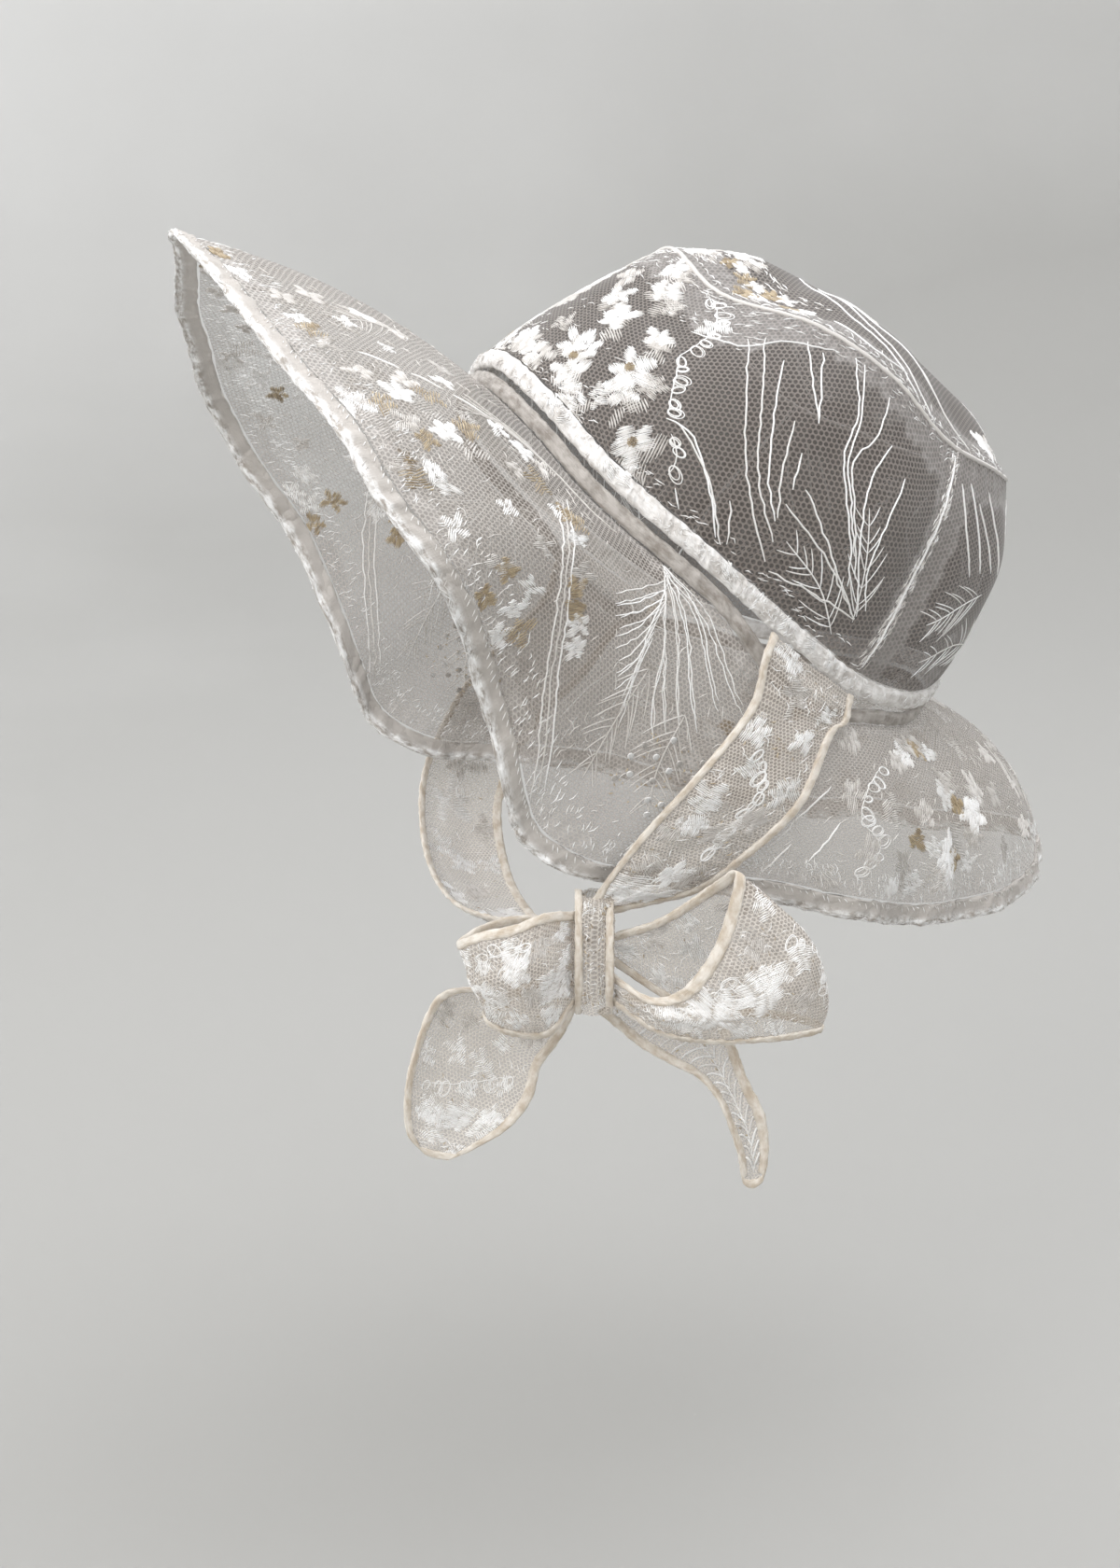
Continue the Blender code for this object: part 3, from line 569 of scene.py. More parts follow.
def curls(threads, patch, places, radius=1.9, spacing=4.2, width=0.38):
    """A line of stitches with an oval of two or three loops at every few millimetres."""
    places = np.array(places, float)
    run = patch.run_along(places)[0]
    threads.curve(patch, places, width * 1.2, drift=0.2)
    at = spacing / 2
    while at < run[-1]:
        here = np.array([np.interp(at, run, places[:, k]) for k in (0, 1)])
        size, lean = radius * CHANCE.uniform(0.7, 1.25), CHANCE.normal() * 0.35
        for _ in range(CHANCE.integers(2, 4)):
            turns = np.linspace(0, 2 * math.pi, 15) + CHANCE.uniform(0, 6)
            scale = size * CHANCE.uniform(0.8, 1.12)
            xs = scale * (1.1 + 1.3 * np.cos(turns))
            ys = scale * 0.75 * np.sin(turns) + CHANCE.normal() * 0.2
            threads.local(patch, here, *turned(xs, ys, lean), width, ends=0.9)
        at += spacing * CHANCE.uniform(0.75, 1.5)


def fern(threads, patch, root, spine, frond, width=0.5, pairs=9, spread=48.0):
    """Fronds on both sides of a spine; the spine is in millimetres from its root."""
    spine = np.array(((0.0, 0.0),) + tuple(spine), float)
    run = run_of(np.diff(spine, axis=0))
    line = smooth(run, spine, np.linspace(0, run[-1], 14))
    threads.local(patch, root, line[:, 0], line[:, 1], width)
    for k in range(pairs):
        share = (k + 0.7) / pairs
        i = int(share * (len(line) - 2))
        here, way = line[i], unit(line[i + 1] - line[i])
        length = frond * (0.55 + 0.45 * math.sin(math.pi * min(1.0, share + 0.25)))
        for sign in (-1, 1):
            out = np.array(turned(*way, math.radians(sign * (spread + CHANCE.normal() * 5))))
            far = length * (0.85 + 0.3 * CHANCE.random())
            t = np.linspace(0, 1, 6)[:, None]
            path = here + out * far * t + way * far * 0.35 * t * t
            threads.local(patch, root, path[:, 0], path[:, 1], width * 0.85)


def sprinkle(threads, patch, firsts, seconds, count, length=(1.5, 4.0), width=0.5, way=None):
    """Short loose stitches over an area; way is their usual direction in degrees."""
    for _ in range(count):
        place = (CHANCE.uniform(*firsts), CHANCE.uniform(*seconds))
        turn = CHANCE.uniform(0, math.pi) if way is None else math.radians(way + CHANCE.normal() * 14)
        half = CHANCE.uniform(*length) / 2
        arch = CHANCE.normal() * half * 0.25
        offsets = turned(np.array((-half, 0, half)), np.array((0, arch, 0)), turn)
        threads.local(patch, place, *offsets, width)


def scattered(patch, firsts, seconds, gap, tries=900):
    """Random places on a patch that keep a gap in millimetres."""
    places, points = [], np.zeros((0, 3))
    for _ in range(tries):
        place = (CHANCE.uniform(*firsts), CHANCE.uniform(*seconds))
        point = patch.at(*place)[0]
        if not len(points) or np.linalg.norm(points - point, axis=1).min() > gap:
            places.append(place)
            points = np.concatenate((points, point[None]))
    return places


# Materials

def linear(hex_colour):
    """A screen colour such as "C9C8C4" as the shader's own numbers."""
    parts = [int(hex_colour[i:i + 2], 16) / 255 for i in (0, 2, 4)]
    return tuple(p / 12.92 if p <= 0.04045 else ((p + 0.055) / 1.055) ** 2.4 for p in parts) + (1.0,)


def new_material(name, roughness, sheen=0.0, specular=0.5):
    """A material with the values that are the same all over set on its shader."""
    made = bpy.data.materials.new(name)
    made.use_nodes = True
    tree = made.node_tree
    shader = tree.nodes["Principled BSDF"]
    shader.inputs["Roughness"].default_value = roughness
    shader.inputs["Sheen Weight"].default_value = sheen
    shader.inputs["Specular IOR Level"].default_value = specular
    return made, tree, shader


def add_node(tree, kind, inputs=None, **settings):
    """One node; inputs maps a socket's name or number to a value, another node's output, or
    a node, which stands for its first output."""
    made = tree.nodes.new(kind)
    for key, value in settings.items():
        setattr(made, key, value)
    for key, value in (inputs or {}).items():
        if isinstance(value, bpy.types.Node):
            value = value.outputs[0]
        if isinstance(value, bpy.types.NodeSocket):
            tree.links.new(value, made.inputs[key])
        else:
            made.inputs[key].default_value = value
    return made


def sheer_lace(name, veil, thread, folded, veil_cover, thread_cover, cell=1.7):
    """Sheer organza over a net of six-sided holes, one cell wide in millimetres. It looks soft,
    slightly shiny and a little uneven, and paler and less sheer where it is doubled."""
    made, tree, shader = new_material(name, 0.55, sheen=0.25, specular=0.35)
    place = add_node(tree, "ShaderNodeUVMap", uv_map="cloth_mm")
    wave_number = 4 * math.pi / (math.sqrt(3) * cell)
    total = 0.0
    for turn in (0, 120, 240):
        way = (*turned(wave_number, 0.0, math.radians(turn)), 0.0)
        along = add_node(tree, "ShaderNodeVectorMath", {0: place, 1: way}, operation="DOT_PRODUCT")
        ripple = add_node(tree, "ShaderNodeMath", {0: along.outputs["Value"]}, operation="COSINE")
        total = add_node(tree, "ShaderNodeMath", {0: ripple, 1: total}, operation="ADD")
    net = add_node(tree, "ShaderNodeMapRange", {"Value": total, "From Min": -0.9, "From Max": 0.2,
                                                "To Min": 1.0, "To Max": 0.0})
    where = add_node(tree, "ShaderNodeTexCoord").outputs["Object"]
    cloud = add_node(tree, "ShaderNodeTexNoise", {"Vector": where, "Scale": 34.0, "Detail": 3.0,
                                                  "Roughness": 0.55})
    uneven = add_node(tree, "ShaderNodeMapRange", {"Value": cloud.outputs["Fac"], "From Min": 0.3,
                                                   "From Max": 0.7, "To Min": -0.07, "To Max": 0.07})
    fray = add_node(tree, "ShaderNodeTexNoise", {"Vector": place, "Scale": 0.45, "Detail": 4.0,
                                                 "Roughness": 0.7})
    frayed = add_node(tree, "ShaderNodeMapRange", {"Value": fray.outputs["Fac"], "From Min": 0.35,
                                                   "From Max": 0.62, "To Min": 0.45, "To Max": 1.0})
    doubled = add_node(tree, "ShaderNodeAttribute", attribute_name="doubled_cloth")
    double = add_node(tree, "ShaderNodeMath", {0: doubled.outputs["Fac"], 1: frayed},
                      operation="MULTIPLY")
    colour = add_node(tree, "ShaderNodeMix", {0: net, 6: linear(veil), 7: linear(thread)},
                      data_type="RGBA")
    colour = add_node(tree, "ShaderNodeMix", {0: double, 6: colour.outputs[2], 7: linear(folded)},
                      data_type="RGBA")
    cover = add_node(tree, "ShaderNodeMapRange", {"Value": net, "To Min": veil_cover,
                                                  "To Max": thread_cover})
    uneven = add_node(tree, "ShaderNodeMath", {0: double, 1: 0.35, 2: uneven},
                      operation="MULTIPLY_ADD")
    alpha = add_node(tree, "ShaderNodeMath", {0: cover, 1: uneven}, operation="ADD", use_clamp=True)
    bump = add_node(tree, "ShaderNodeBump", {"Height": net, "Strength": 0.25, "Distance": 0.0003})
    tree.links.new(colour.outputs[2], shader.inputs["Base Color"])
    tree.links.new(alpha.outputs[0], shader.inputs["Alpha"])
    tree.links.new(bump.outputs[0], shader.inputs["Normal"])
    return made


TAPE_TURN_MM = 2.2            # cloth round a padded tape for each radian
TAPE_THREAD_MM = 0.45
WAVE_SCALE = 0.314            # a wave texture of this scale repeats once in each unit
THREAD_TWIST_MM = 0.55


def woven_tape(name, light, dark, cover=1.0, second=None, second_cover=None,
               grain=(0.16, 0.4, 1.0), sheen=0.4):
    """Soft matt folded tape: a fine weave, mottled by the folds under it. The second colour, if
    any, is that of the tape's inner half."""
    made, tree, shader = new_material(name, 0.6, sheen=sheen, specular=0.3)
    place = add_node(tree, "ShaderNodeUVMap", uv_map="cloth_mm")
    threads = [add_node(tree, "ShaderNodeTexWave",
                        {"Vector": place, "Scale": WAVE_SCALE / TAPE_THREAD_MM,
                         "Distortion": 0.6, "Detail": 1.0},
                        bands_direction=direction).outputs["Fac"] for direction in ("X", "Y")]
    weave = add_node(tree, "ShaderNodeMath", {0: threads[0], 1: threads[1]}, operation="MULTIPLY")
    longer = add_node(tree, "ShaderNodeVectorMath", {0: place, 1: grain}, operation="MULTIPLY")
    cloud = add_node(tree, "ShaderNodeTexNoise", {"Vector": longer, "Scale": 1.0, "Detail": 4.0,
                                                  "Roughness": 0.65}).outputs["Fac"]
    tone = add_node(tree, "ShaderNodeMapRange", {"Value": cloud, "From Min": 0.38, "From Max": 0.6})
    colour = add_node(tree, "ShaderNodeMix", {0: tone, 6: linear(dark), 7: linear(light)},
                      data_type="RGBA")
    shader.inputs["Alpha"].default_value = cover
    if second:
        around = add_node(tree, "ShaderNodeSeparateXYZ", {0: place})
        turn = add_node(tree, "ShaderNodeMath", {0: around.outputs["Y"], 1: 1 / TAPE_TURN_MM},
                        operation="MULTIPLY")
        turn = add_node(tree, "ShaderNodeMath", {0: turn}, operation="COSINE")
        inner = add_node(tree, "ShaderNodeMapRange", {"Value": turn, "From Min": 0.35,
                                                      "From Max": -0.05})
        colour = add_node(tree, "ShaderNodeMix", {0: inner, 6: colour.outputs[2], 7: linear(second)},
                          data_type="RGBA")
        alpha = add_node(tree, "ShaderNodeMapRange", {"Value": inner, "To Min": cover,
                                                      "To Max": second_cover})
        tree.links.new(alpha.outputs[0], shader.inputs["Alpha"])
    bump = add_node(tree, "ShaderNodeBump", {"Height": weave, "Strength": 0.4, "Distance": 0.0002})
    crease = add_node(tree, "ShaderNodeBump", {"Height": cloud, "Strength": 0.5, "Distance": 0.0006,
                                               "Normal": bump})
    tree.links.new(colour.outputs[2], shader.inputs["Base Color"])
    tree.links.new(crease.outputs[0], shader.inputs["Normal"])
    return made


def satin_thread(name, light, dark, roughness):
    """Shiny embroidery thread: each strand its own shade, with its twist as fine bumps."""
    made, tree, shader = new_material(name, roughness, sheen=0.3, specular=0.6)
    place = add_node(tree, "ShaderNodeUVMap", uv_map="cloth_mm")
    strand = add_node(tree, "ShaderNodeSeparateXYZ", {0: place}).outputs
    colour = add_node(tree, "ShaderNodeMix", {0: strand["Y"], 6: linear(dark), 7: linear(light)},
                      data_type="RGBA")
    turns = add_node(tree, "ShaderNodeMath", {0: strand["X"], 1: 2 * math.pi / THREAD_TWIST_MM},
                     operation="MULTIPLY")
    twist = add_node(tree, "ShaderNodeMath", {0: turns}, operation="SINE")
    bump = add_node(tree, "ShaderNodeBump", {"Height": twist, "Strength": 0.3, "Distance": 0.0001})
    tree.links.new(colour.outputs[2], shader.inputs["Base Color"])
    tree.links.new(bump.outputs[0], shader.inputs["Normal"])
    return made


# The sweep that turns stitched paths into strands

STRAND_SIDES = 4              # a flat diamond, so that thousands of strands stay light
STRAND_UNDERSIDE = 0.8        # height below the cloth as a share of the height above it
STRAND_NOTES = ("middle", "section", "across", "above", "mark")


def strand_tree():
    """Geometry Nodes that sweep a flat section along every path. Each point of a path carries
    its half width as "across", its height as "above", and its place along the strand and the
    strand's shade as "mark"."""
    tree = bpy.data.node_groups.new("stitched_strands", "GeometryNodeTree")
    for name, kind, way in (("Paths", "Geometry", "INPUT"), ("Sides", "Int", "INPUT"),
                            ("Underside share", "Float", "INPUT"), ("Thread", "Material", "INPUT"),
                            ("Strands", "Geometry", "OUTPUT")):
        tree.interface.new_socket(name, in_out=way, socket_type="NodeSocket" + kind)
    given = add_node(tree, "NodeGroupInput").outputs
    place = add_node(tree, "GeometryNodeInputPosition")
    circle = add_node(tree, "GeometryNodeCurvePrimitiveCircle",
                      {"Resolution": given["Sides"], "Radius": 1.0})
    lines = add_node(tree, "GeometryNodeMeshToCurve", {"Mesh": given["Paths"]})
    middle, section = (add_node(tree, "GeometryNodeStoreNamedAttribute",
                                {"Geometry": geometry, "Name": key, "Value": place},
                                data_type="FLOAT_VECTOR", domain="POINT")
                       for key, geometry in (("middle", lines), ("section", circle)))
    swept = add_node(tree, "GeometryNodeCurveToMesh", {"Curve": middle, "Profile Curve": section,
                                                       "Fill Caps": True})
    note = {key: add_node(tree, "GeometryNodeInputNamedAttribute", {"Name": key},
                          data_type="FLOAT_VECTOR") for key in STRAND_NOTES}
    flat = add_node(tree, "ShaderNodeSeparateXYZ", {0: note["section"]}).outputs
    lower = add_node(tree, "ShaderNodeMath", {0: flat["Y"], 1: given["Underside share"]},
                     operation="MULTIPLY")
    height = add_node(tree, "ShaderNodeMath", {0: flat["Y"], 1: lower}, operation="MAXIMUM")
    at = note["middle"]
    for key, share in (("across", flat["X"]), ("above", height)):
        part = add_node(tree, "ShaderNodeVectorMath", {0: note[key], "Scale": share},
                        operation="SCALE")
        at = add_node(tree, "ShaderNodeVectorMath", {0: at, 1: part}, operation="ADD")
    shaped = add_node(tree, "GeometryNodeSetPosition", {"Geometry": swept, "Position": at})
    marked = add_node(tree, "GeometryNodeStoreNamedAttribute",
                      {"Geometry": shaped, "Name": "cloth_mm", "Value": note["mark"]},
                      data_type="FLOAT2", domain="CORNER")
    real = add_node(tree, "GeometryNodeRealizeInstances", {"Geometry": marked})
    dyed = add_node(tree, "GeometryNodeSetMaterial", {"Geometry": real, "Material": given["Thread"]})
    add_node(tree, "NodeGroupOutput", {"Strands": dyed})
    return tree


STRAND_TREE = strand_tree()


# The pieces of the hat

def wave(place, length, phase=0.0):
    return np.sin(2 * math.pi * place / length + phase)


def ring_mm(angle):
    """Length along the head opening's rim, near enough for folds and stitches."""
    return np.asarray(angle, float) * (math.pi * (OPENING_LENGTH + OPENING_WIDTH) / 2) / 360


CROWN_HEIGHT = 74.0           # of the side panel, along the cloth


def crown_folds(angle, rise):
    """Puckers at the tape and the tip seam, and shallow folds between."""
    place = ring_mm(angle)
    foot, top = np.exp(-rise * CROWN_HEIGHT / 5.0), np.exp(-(1 - rise) * CROWN_HEIGHT / 4.0)
    puckers = 0.45 * foot * wave(place + 2 * wave(place, 23), 5.2) * (1 - foot ** 6)
    seam = 0.4 * top * wave(place + 1.5 * wave(place, 17), 6.1) * (1 - top ** 6)
    soft = 0.5 * wave(place + 14 * rise, 37) * np.sin(math.pi * rise) * (0.6 + 0.4 * wave(place, 91))
    return puckers + seam + soft


TIP_REACH = 70.0              # of the tip, from its seam to its middle


def tip_folds(angle, inward):
    """Puckers at the tip seam, and soft folds inside it."""
    turn = np.radians(angle)
    edge = np.exp(-inward * TIP_REACH / 5.0)
    puckers = 0.4 * edge * np.sin(turn * 67 + 2 * np.sin(turn * 9)) * (1 - edge ** 6)
    return puckers + 0.7 * np.sin(turn * 7 + 3 * inward) * inward * (1 - inward) * 2


BRIM_REACH = 90.0             # of the brim, from its head tape to its hem


def brim_folds(angle, reach):
    """Puckers at the head tape and the hem, and soft folds between."""
    place = ring_mm(angle)
    foot, edge = np.exp(-reach * BRIM_REACH / 6.0), np.exp(-(1 - reach) * BRIM_REACH / 7.0)
    puckers = 0.5 * foot * wave(place + 2 * wave(place, 29), 5.6) * (1 - foot ** 6)
    hem = 0.45 * edge * wave(place + 1.5 * wave(place, 19), 4.6) * (1 - edge ** 6)
    folds = 0.55 * wave(place + 9 * reach, 21) * np.sin(math.pi * reach) ** 0.8
    return puckers + hem + folds * (0.5 + 0.5 * wave(place, 73, 1.0))


def crown_patch(start, end, columns):
    rises = np.linspace(0.0, 1 - SEAM_GAP / CROWN_HEIGHT, 40)
    return Patch(crown_point, np.linspace(start, end, columns), rises, shaping=crown_folds)


crown_side = crown_patch(-SIDE_SEAM_ANGLE, SIDE_SEAM_ANGLE, 420)
crown_back = crown_patch(SIDE_SEAM_ANGLE, 360 - SIDE_SEAM_ANGLE, 250)
tip = Patch(tip_point, np.arange(360) * 1.0, np.linspace(SEAM_GAP / (TIP_WIDTH / 2), 0.97, 36),
            closed=True, shaping=tip_folds)
BRIM_LENGTH = 92.0            # usual length of the brim's flat cloth


def brim_length(angle):
    points = [brim_point(angle, np.full(np.shape(angle), reach)) for reach in np.linspace(0, 1, 7)]
    return sum(np.linalg.norm(b - a, axis=-1) for a, b in zip(points, points[1:]))


def brim_cloth_point(angle, share):
    """The brim's cloth: share 1 is where the edge tape starts."""
    return brim_point(angle, share * (1 - (EDGE_TAPE_DEPTH + SEWN_GAP) / brim_length(angle)))


brim = Patch(brim_cloth_point, np.arange(720) * 0.5, np.linspace(0, 1, 44),
             closed=True, outward=-1, shaping=brim_folds)


def tip_pattern(angle, inward):
    turn = np.radians(angle)
    return (TIP_WIDTH / 2 * np.sin(turn) * (1 - inward), TIP_LENGTH / 2 * np.cos(turn) * (1 - inward))


def crown_pattern(angle, rise):
    return ring_mm(angle) * 0.9, rise * CROWN_HEIGHT


BRIM_SPREAD = 300.0           # degrees of the flat ring that the brim is cut as
BRIM_HEAD_RADIUS = 110.0


def brim_pattern(angle, reach):
    turn = np.radians(angle * BRIM_SPREAD / 360)
    radius = BRIM_HEAD_RADIUS + reach * BRIM_LENGTH
    return radius * np.sin(turn), radius * np.cos(turn)


# Where the cloth is turned in: 1 at the turned edge itself, about a half inside it

def turned_in(depth, soft):
    """Share of doubled cloth from the depth inside its frayed edge, in the same unit as soft."""
    return 0.55 / (1 + np.exp(-depth / (0.25 * soft))) + 0.4 * np.exp(-(depth / soft) ** 2)


# Millimetres of cloth turned in along the tip seam, at angles from the front
CROWN_TURNED = np.array(((0, 12), (28, 15), (42, 20), (50, 18), (54, 11), (60, 7), (67, 5), (84, 7),
                         (104, 12), (112, 13), (140, 9), (180, 10)), float)


def crown_turned(angle, rise):
    """Share of doubled cloth, turned in along the tip seam and along the side seams."""
    near = np.abs(folded_angle(angle))
    wavy = 1.1 * wave(ring_mm(angle), 13) + 0.7 * wave(ring_mm(angle), 5.3)
    along_top = np.interp(near, *CROWN_TURNED.T) + wavy - (1 - rise) * CROWN_HEIGHT
    wavy = 0.8 * wave(rise * CROWN_HEIGHT, 11) + 0.5 * wave(rise * CROWN_HEIGHT, 4.1)
    beside = 6.5 + 5 * rise ** 2 + wavy - ring_mm(np.abs(near - SIDE_SEAM_ANGLE))
    return np.maximum(turned_in(along_top, 1.1), turned_in(beside, 1.1))


def tip_turned(angle, inward):
    """Share of doubled cloth, turned in all along the tip's seam."""
    wavy = 1.2 * np.sin(np.radians(angle) * 13) + 0.7 * np.sin(np.radians(angle) * 31)
    return turned_in(9 + wavy - inward * TIP_WIDTH / 2, 1.1)


# Places of one long doubled stripe, as angle from the front and share of the brim
BRIM_STRIPE = [(47, 0.30), (64, 0.74), (77, 0.97)]


def brim_turned(angle, share):
    """The brim's hem, its gathered head edge, one long stripe on each side, and the sheerer
    front on the right side as worn."""
    near = np.abs(folded_angle(angle))
    wavy = 0.9 * wave(ring_mm(angle), 12) + 0.6 * wave(ring_mm(angle), 4.7)
    hem = 0.9 * turned_in(6.0 + wavy - (1 - share) * BRIM_LENGTH, 1.0)
    head = 0.8 * turned_in(4.0 + wavy - share * BRIM_LENGTH, 1.0)
    stripe = np.abs(share - np.interp(near, *np.array(BRIM_STRIPE).T)) * BRIM_LENGTH
    stripe = 0.8 * turned_in(3.4 - stripe, 0.8) * ((near > 46) & (near < 78))
    veil = -0.85 * np.exp(-((folded_angle(angle) + 38) / 30) ** 4)
    return np.maximum(np.maximum(hem, head), stripe) + veil


# Padded tapes

TAPE_SECTION_POINTS, TAPE_SQUARENESS = 18, 0.8


def tape_object(name, bands, angles, thickness, material, plump, crease, roll):
    """A padded tape round the hat; bands gives its two edges and its thick way. Plump is how
    deep its creases are, crease how far apart, and roll makes it thicker at its second edge."""
    low, high, outward = bands(angles)
    turns = np.arange(TAPE_SECTION_POINTS) * 2 * math.pi / TAPE_SECTION_POINTS
    up, out = squared(np.cos(turns), TAPE_SQUARENESS), squared(np.sin(turns), TAPE_SQUARENESS)
    place = ring_mm(angles)[:, None]
    folds = (wave(place + 1.3 * wave(place, 13.7) + 1.1 * up, crease)
             + 0.7 * wave(place + 0.8 * up, crease * 1.9, 2.0) + 0.6 * wave(place, 11.0, 1.0))
    fullness = thickness / 2 * out * (0.9 + 0.12 * wave(place, 31) + 0.08 * wave(place, 9.3))
    crinkle = CHANCE.normal(size=(len(angles), len(turns)))
    crinkle = sum(np.roll(crinkle, k, 0) for k in range(-2, 3)) / 3 + np.roll(crinkle, 1, 1) / 3
    fullness = fullness * (1 - roll / (1 + np.exp(9 * up))) + (
        plump * (0.4 * folds + 0.36 * crinkle) * np.sign(out))
    ragged = up * (0.96 - 0.05 * (1 + wave(place + 2 * wave(place, 21), 7.7)) * np.abs(up))
    points = ((low + high) / 2)[:, None] + (high - low)[:, None] / 2 * ragged[..., None] + (
        outward[:, None] * fullness[..., None])
    rows = np.append(turns, 2 * math.pi) * TAPE_TURN_MM
    columns = np.append(place[:, 0], place[-1, 0] + place[1, 0] - place[0, 0])
    pattern = np.stack(np.meshgrid(columns, rows, indexing="ij"), -1)
    return grid_object(name, points, material, pattern, (True, True))


def ring_band(bottom, height, slot=0.0):
    """Edges and thick way of a tape round the head ring; slot 1 lets it drop with the slot."""
    def bands(angles):
        drop = slot * slot_at(angles)
        return (head_ring(angles, up=bottom - drop), head_ring(angles, up=bottom + height - drop),
                ring_outward(angles))
    return bands


def tape_face(bands, thickness):
    """The outside of a tape, for stitches: share runs from its first edge to its second."""
    def point(angle, share):
        flat_angles = np.unique(angle)
        low, high, outward = (side[np.searchsorted(flat_angles, angle)] for side in bands(flat_angles))
        out = 0.12 + thickness / 2 * (1 - np.abs(2 * share - 1) ** 2.5) ** 0.4
        return low + (high - low) * column_of(share) + outward * column_of(out)
    return Patch(point, np.arange(720) * 0.5, np.linspace(0, 1, 9), closed=True)


def edge_band(angles):
    """Edges and thick way of the tape on the brim's hem."""
    ends = [brim_point(angles, 1 - EDGE_TAPE_DEPTH / brim_length(angles)),
            brim_point(angles, np.ones(len(angles)))]
    ahead = brim_point(angles + 1.0, np.full(len(angles), 0.96))
    behind = brim_point(angles - 1.0, np.full(len(angles), 0.96))
    return ends[0], ends[1], unit(np.cross(ends[1] - ends[0], ahead - behind))


# Ribbons

class Ribbon:
    """A bound ribbon: its cloth and the places of its edge tapes. A tail's tape goes round
    its end too."""

    def __init__(self, rows, columns, outward=1, tail=False):
        self.surface, self.last = ribbon_surface(rows), len(rows) - 1
        self.tail = tail
        self.whole = Patch(self.surface, np.linspace(0, self.last, columns), np.linspace(0, 1, 17),
                           outward=outward)
        steps = np.linalg.norm(np.diff(self.whole.points, axis=1), axis=-1)
        self.widths = steps.sum(1)
        lengths = np.linalg.norm(np.diff(self.whole.points[:, 8], axis=0), axis=-1)
        self.run = np.concatenate(([0], np.cumsum(lengths)))
        self.length, self.width = lengths.sum(), self.widths.mean()
        end_step = np.linalg.norm(self.surface(self.last, 0.5) - self.surface(self.last - 1, 0.5))
        self.tape_start = self.last - (RIBBON_TAPE_WIDTH / end_step if tail else 0.0)
        stations = np.linspace(0, self.tape_start, columns)
        self.patch = Patch(self.cloth_point, stations, np.linspace(0, 1, 25), outward=outward,
                           shaping=self.folds)

    def inset(self, station):
        return RIBBON_TAPE_WIDTH / np.interp(station, self.whole.firsts, self.widths)

    def cloth_point(self, station, across):
        inset = self.inset(station)
        return self.surface(station, inset + across * (1 - 2 * inset))

    def flat_place(self, station, across):
        """Place on the ribbon's flat cloth, in millimetres."""
        wide = np.interp(station, self.whole.firsts, self.widths) - 2 * RIBBON_TAPE_WIDTH
        return np.interp(station, self.whole.firsts, self.run), (across - 0.5) * wide

    def folds(self, station, across):
        place = station * self.length / self.last
        edge = np.exp(-across * 26 / 3.0) + np.exp(-(1 - across) * 26 / 3.0)
        long_fold = 0.5 * np.sin(2 * math.pi * (across * 1.7 + 0.15 * np.sin(station * 1.3)))
        return (0.3 * edge * (1 - edge) * 4 * wave(place + wave(place, 17), 4.3)
                + long_fold * np.sin(math.pi * across) + 0.35 * wave(place + 6 * across, 13)
                * np.sin(math.pi * across))

    def tape_path(self, second_edge):
        """Outer and inner edge and thick way of the tape along one edge."""
        end = self.tape_start if self.tail else self.last
        stations = np.linspace(0, end, int(self.length / 1.1))
        inset = self.inset(stations)
        outer, inner = (np.ones(len(stations)), 1 - inset) if second_edge else (0 * inset, inset)
        return (self.surface(stations, outer), self.surface(stations, inner),
                self.whole.at(stations, (outer + inner) / 2)[1])

    def tail_path(self):
        """The same down one edge, round the tail's end and back up the other edge."""
        down, back = self.tape_path(False), self.tape_path(True)
        step = self.inset(self.last)
        across = np.linspace(step / 2, 1 - step / 2, 9)
        ends = np.full(9, float(self.last))
        turn = (self.surface(ends, across), self.surface(ends * 0 + self.tape_start, across),
                self.whole.at(ends * 0 + self.tape_start, across)[1])
        return tuple(np.concatenate((a[:-2], b, c[::-1][2:])) for a, b, c in zip(down, turn, back))


NARROW_TAPE_LAP = 1.25        # the tape laps over the ribbon's cloth by a quarter of its width
NARROW_TAPE_THICKNESS = 1.5
NARROW_SECTION_POINTS, NARROW_SQUARENESS = 10, 0.7


def narrow_tape(name, path):
    """The narrow folded tape on a ribbon's edge, with small creases."""
    outer, inner, thick_way = path
    turns = np.arange(NARROW_SECTION_POINTS) * 2 * math.pi / NARROW_SECTION_POINTS
    lengths = run_of(np.diff(outer, axis=0))
    place = lengths[:, None]
    up, out = squared(np.cos(turns), NARROW_SQUARENESS), squared(np.sin(turns), NARROW_SQUARENESS)
    creases = wave(place + 1.2 * wave(place, 9.1) + 0.4 * up, 2.7)
    full = NARROW_TAPE_THICKNESS / 2 * out + 0.17 * creases * np.sign(out)
    wide = up * (0.97 + 0.07 * wave(place + wave(place, 7.3), 5.9)) * (1 + 0.1 * (up < 0))
    wide = 1 - (1 - wide) * NARROW_TAPE_LAP
    points = ((outer + inner) / 2)[:, None] + (outer - inner)[:, None] / 2 * wide[..., None] + (
        thick_way[:, None] * full[..., None])
    pattern = np.stack(np.meshgrid(lengths, np.append(turns, 2 * math.pi) * 1.2, indexing="ij"), -1)
    return grid_object(name, points, CREAM_TAPE, pattern, (False, True))


def bow_ribbon(rows, columns, **more):
    return Ribbon([from_knot(row) for row in rows], columns, **more)


near_strap = Ribbon(slot_rows() + STRAP, 130)
chin_strap = Ribbon([mirrored(row) for row in slot_rows() + STRAP[:3]] + CHIN, 260, outward=-1)
loop_front = bow_ribbon(LOOP_FRONT, 130, outward=-1)
loop_back = bow_ribbon(LOOP_BACK, 180)
tail_front = bow_ribbon(TAIL_FRONT, 110, outward=-1, tail=True)
tail_back = bow_ribbon(TAIL_BACK, 130, tail=True)


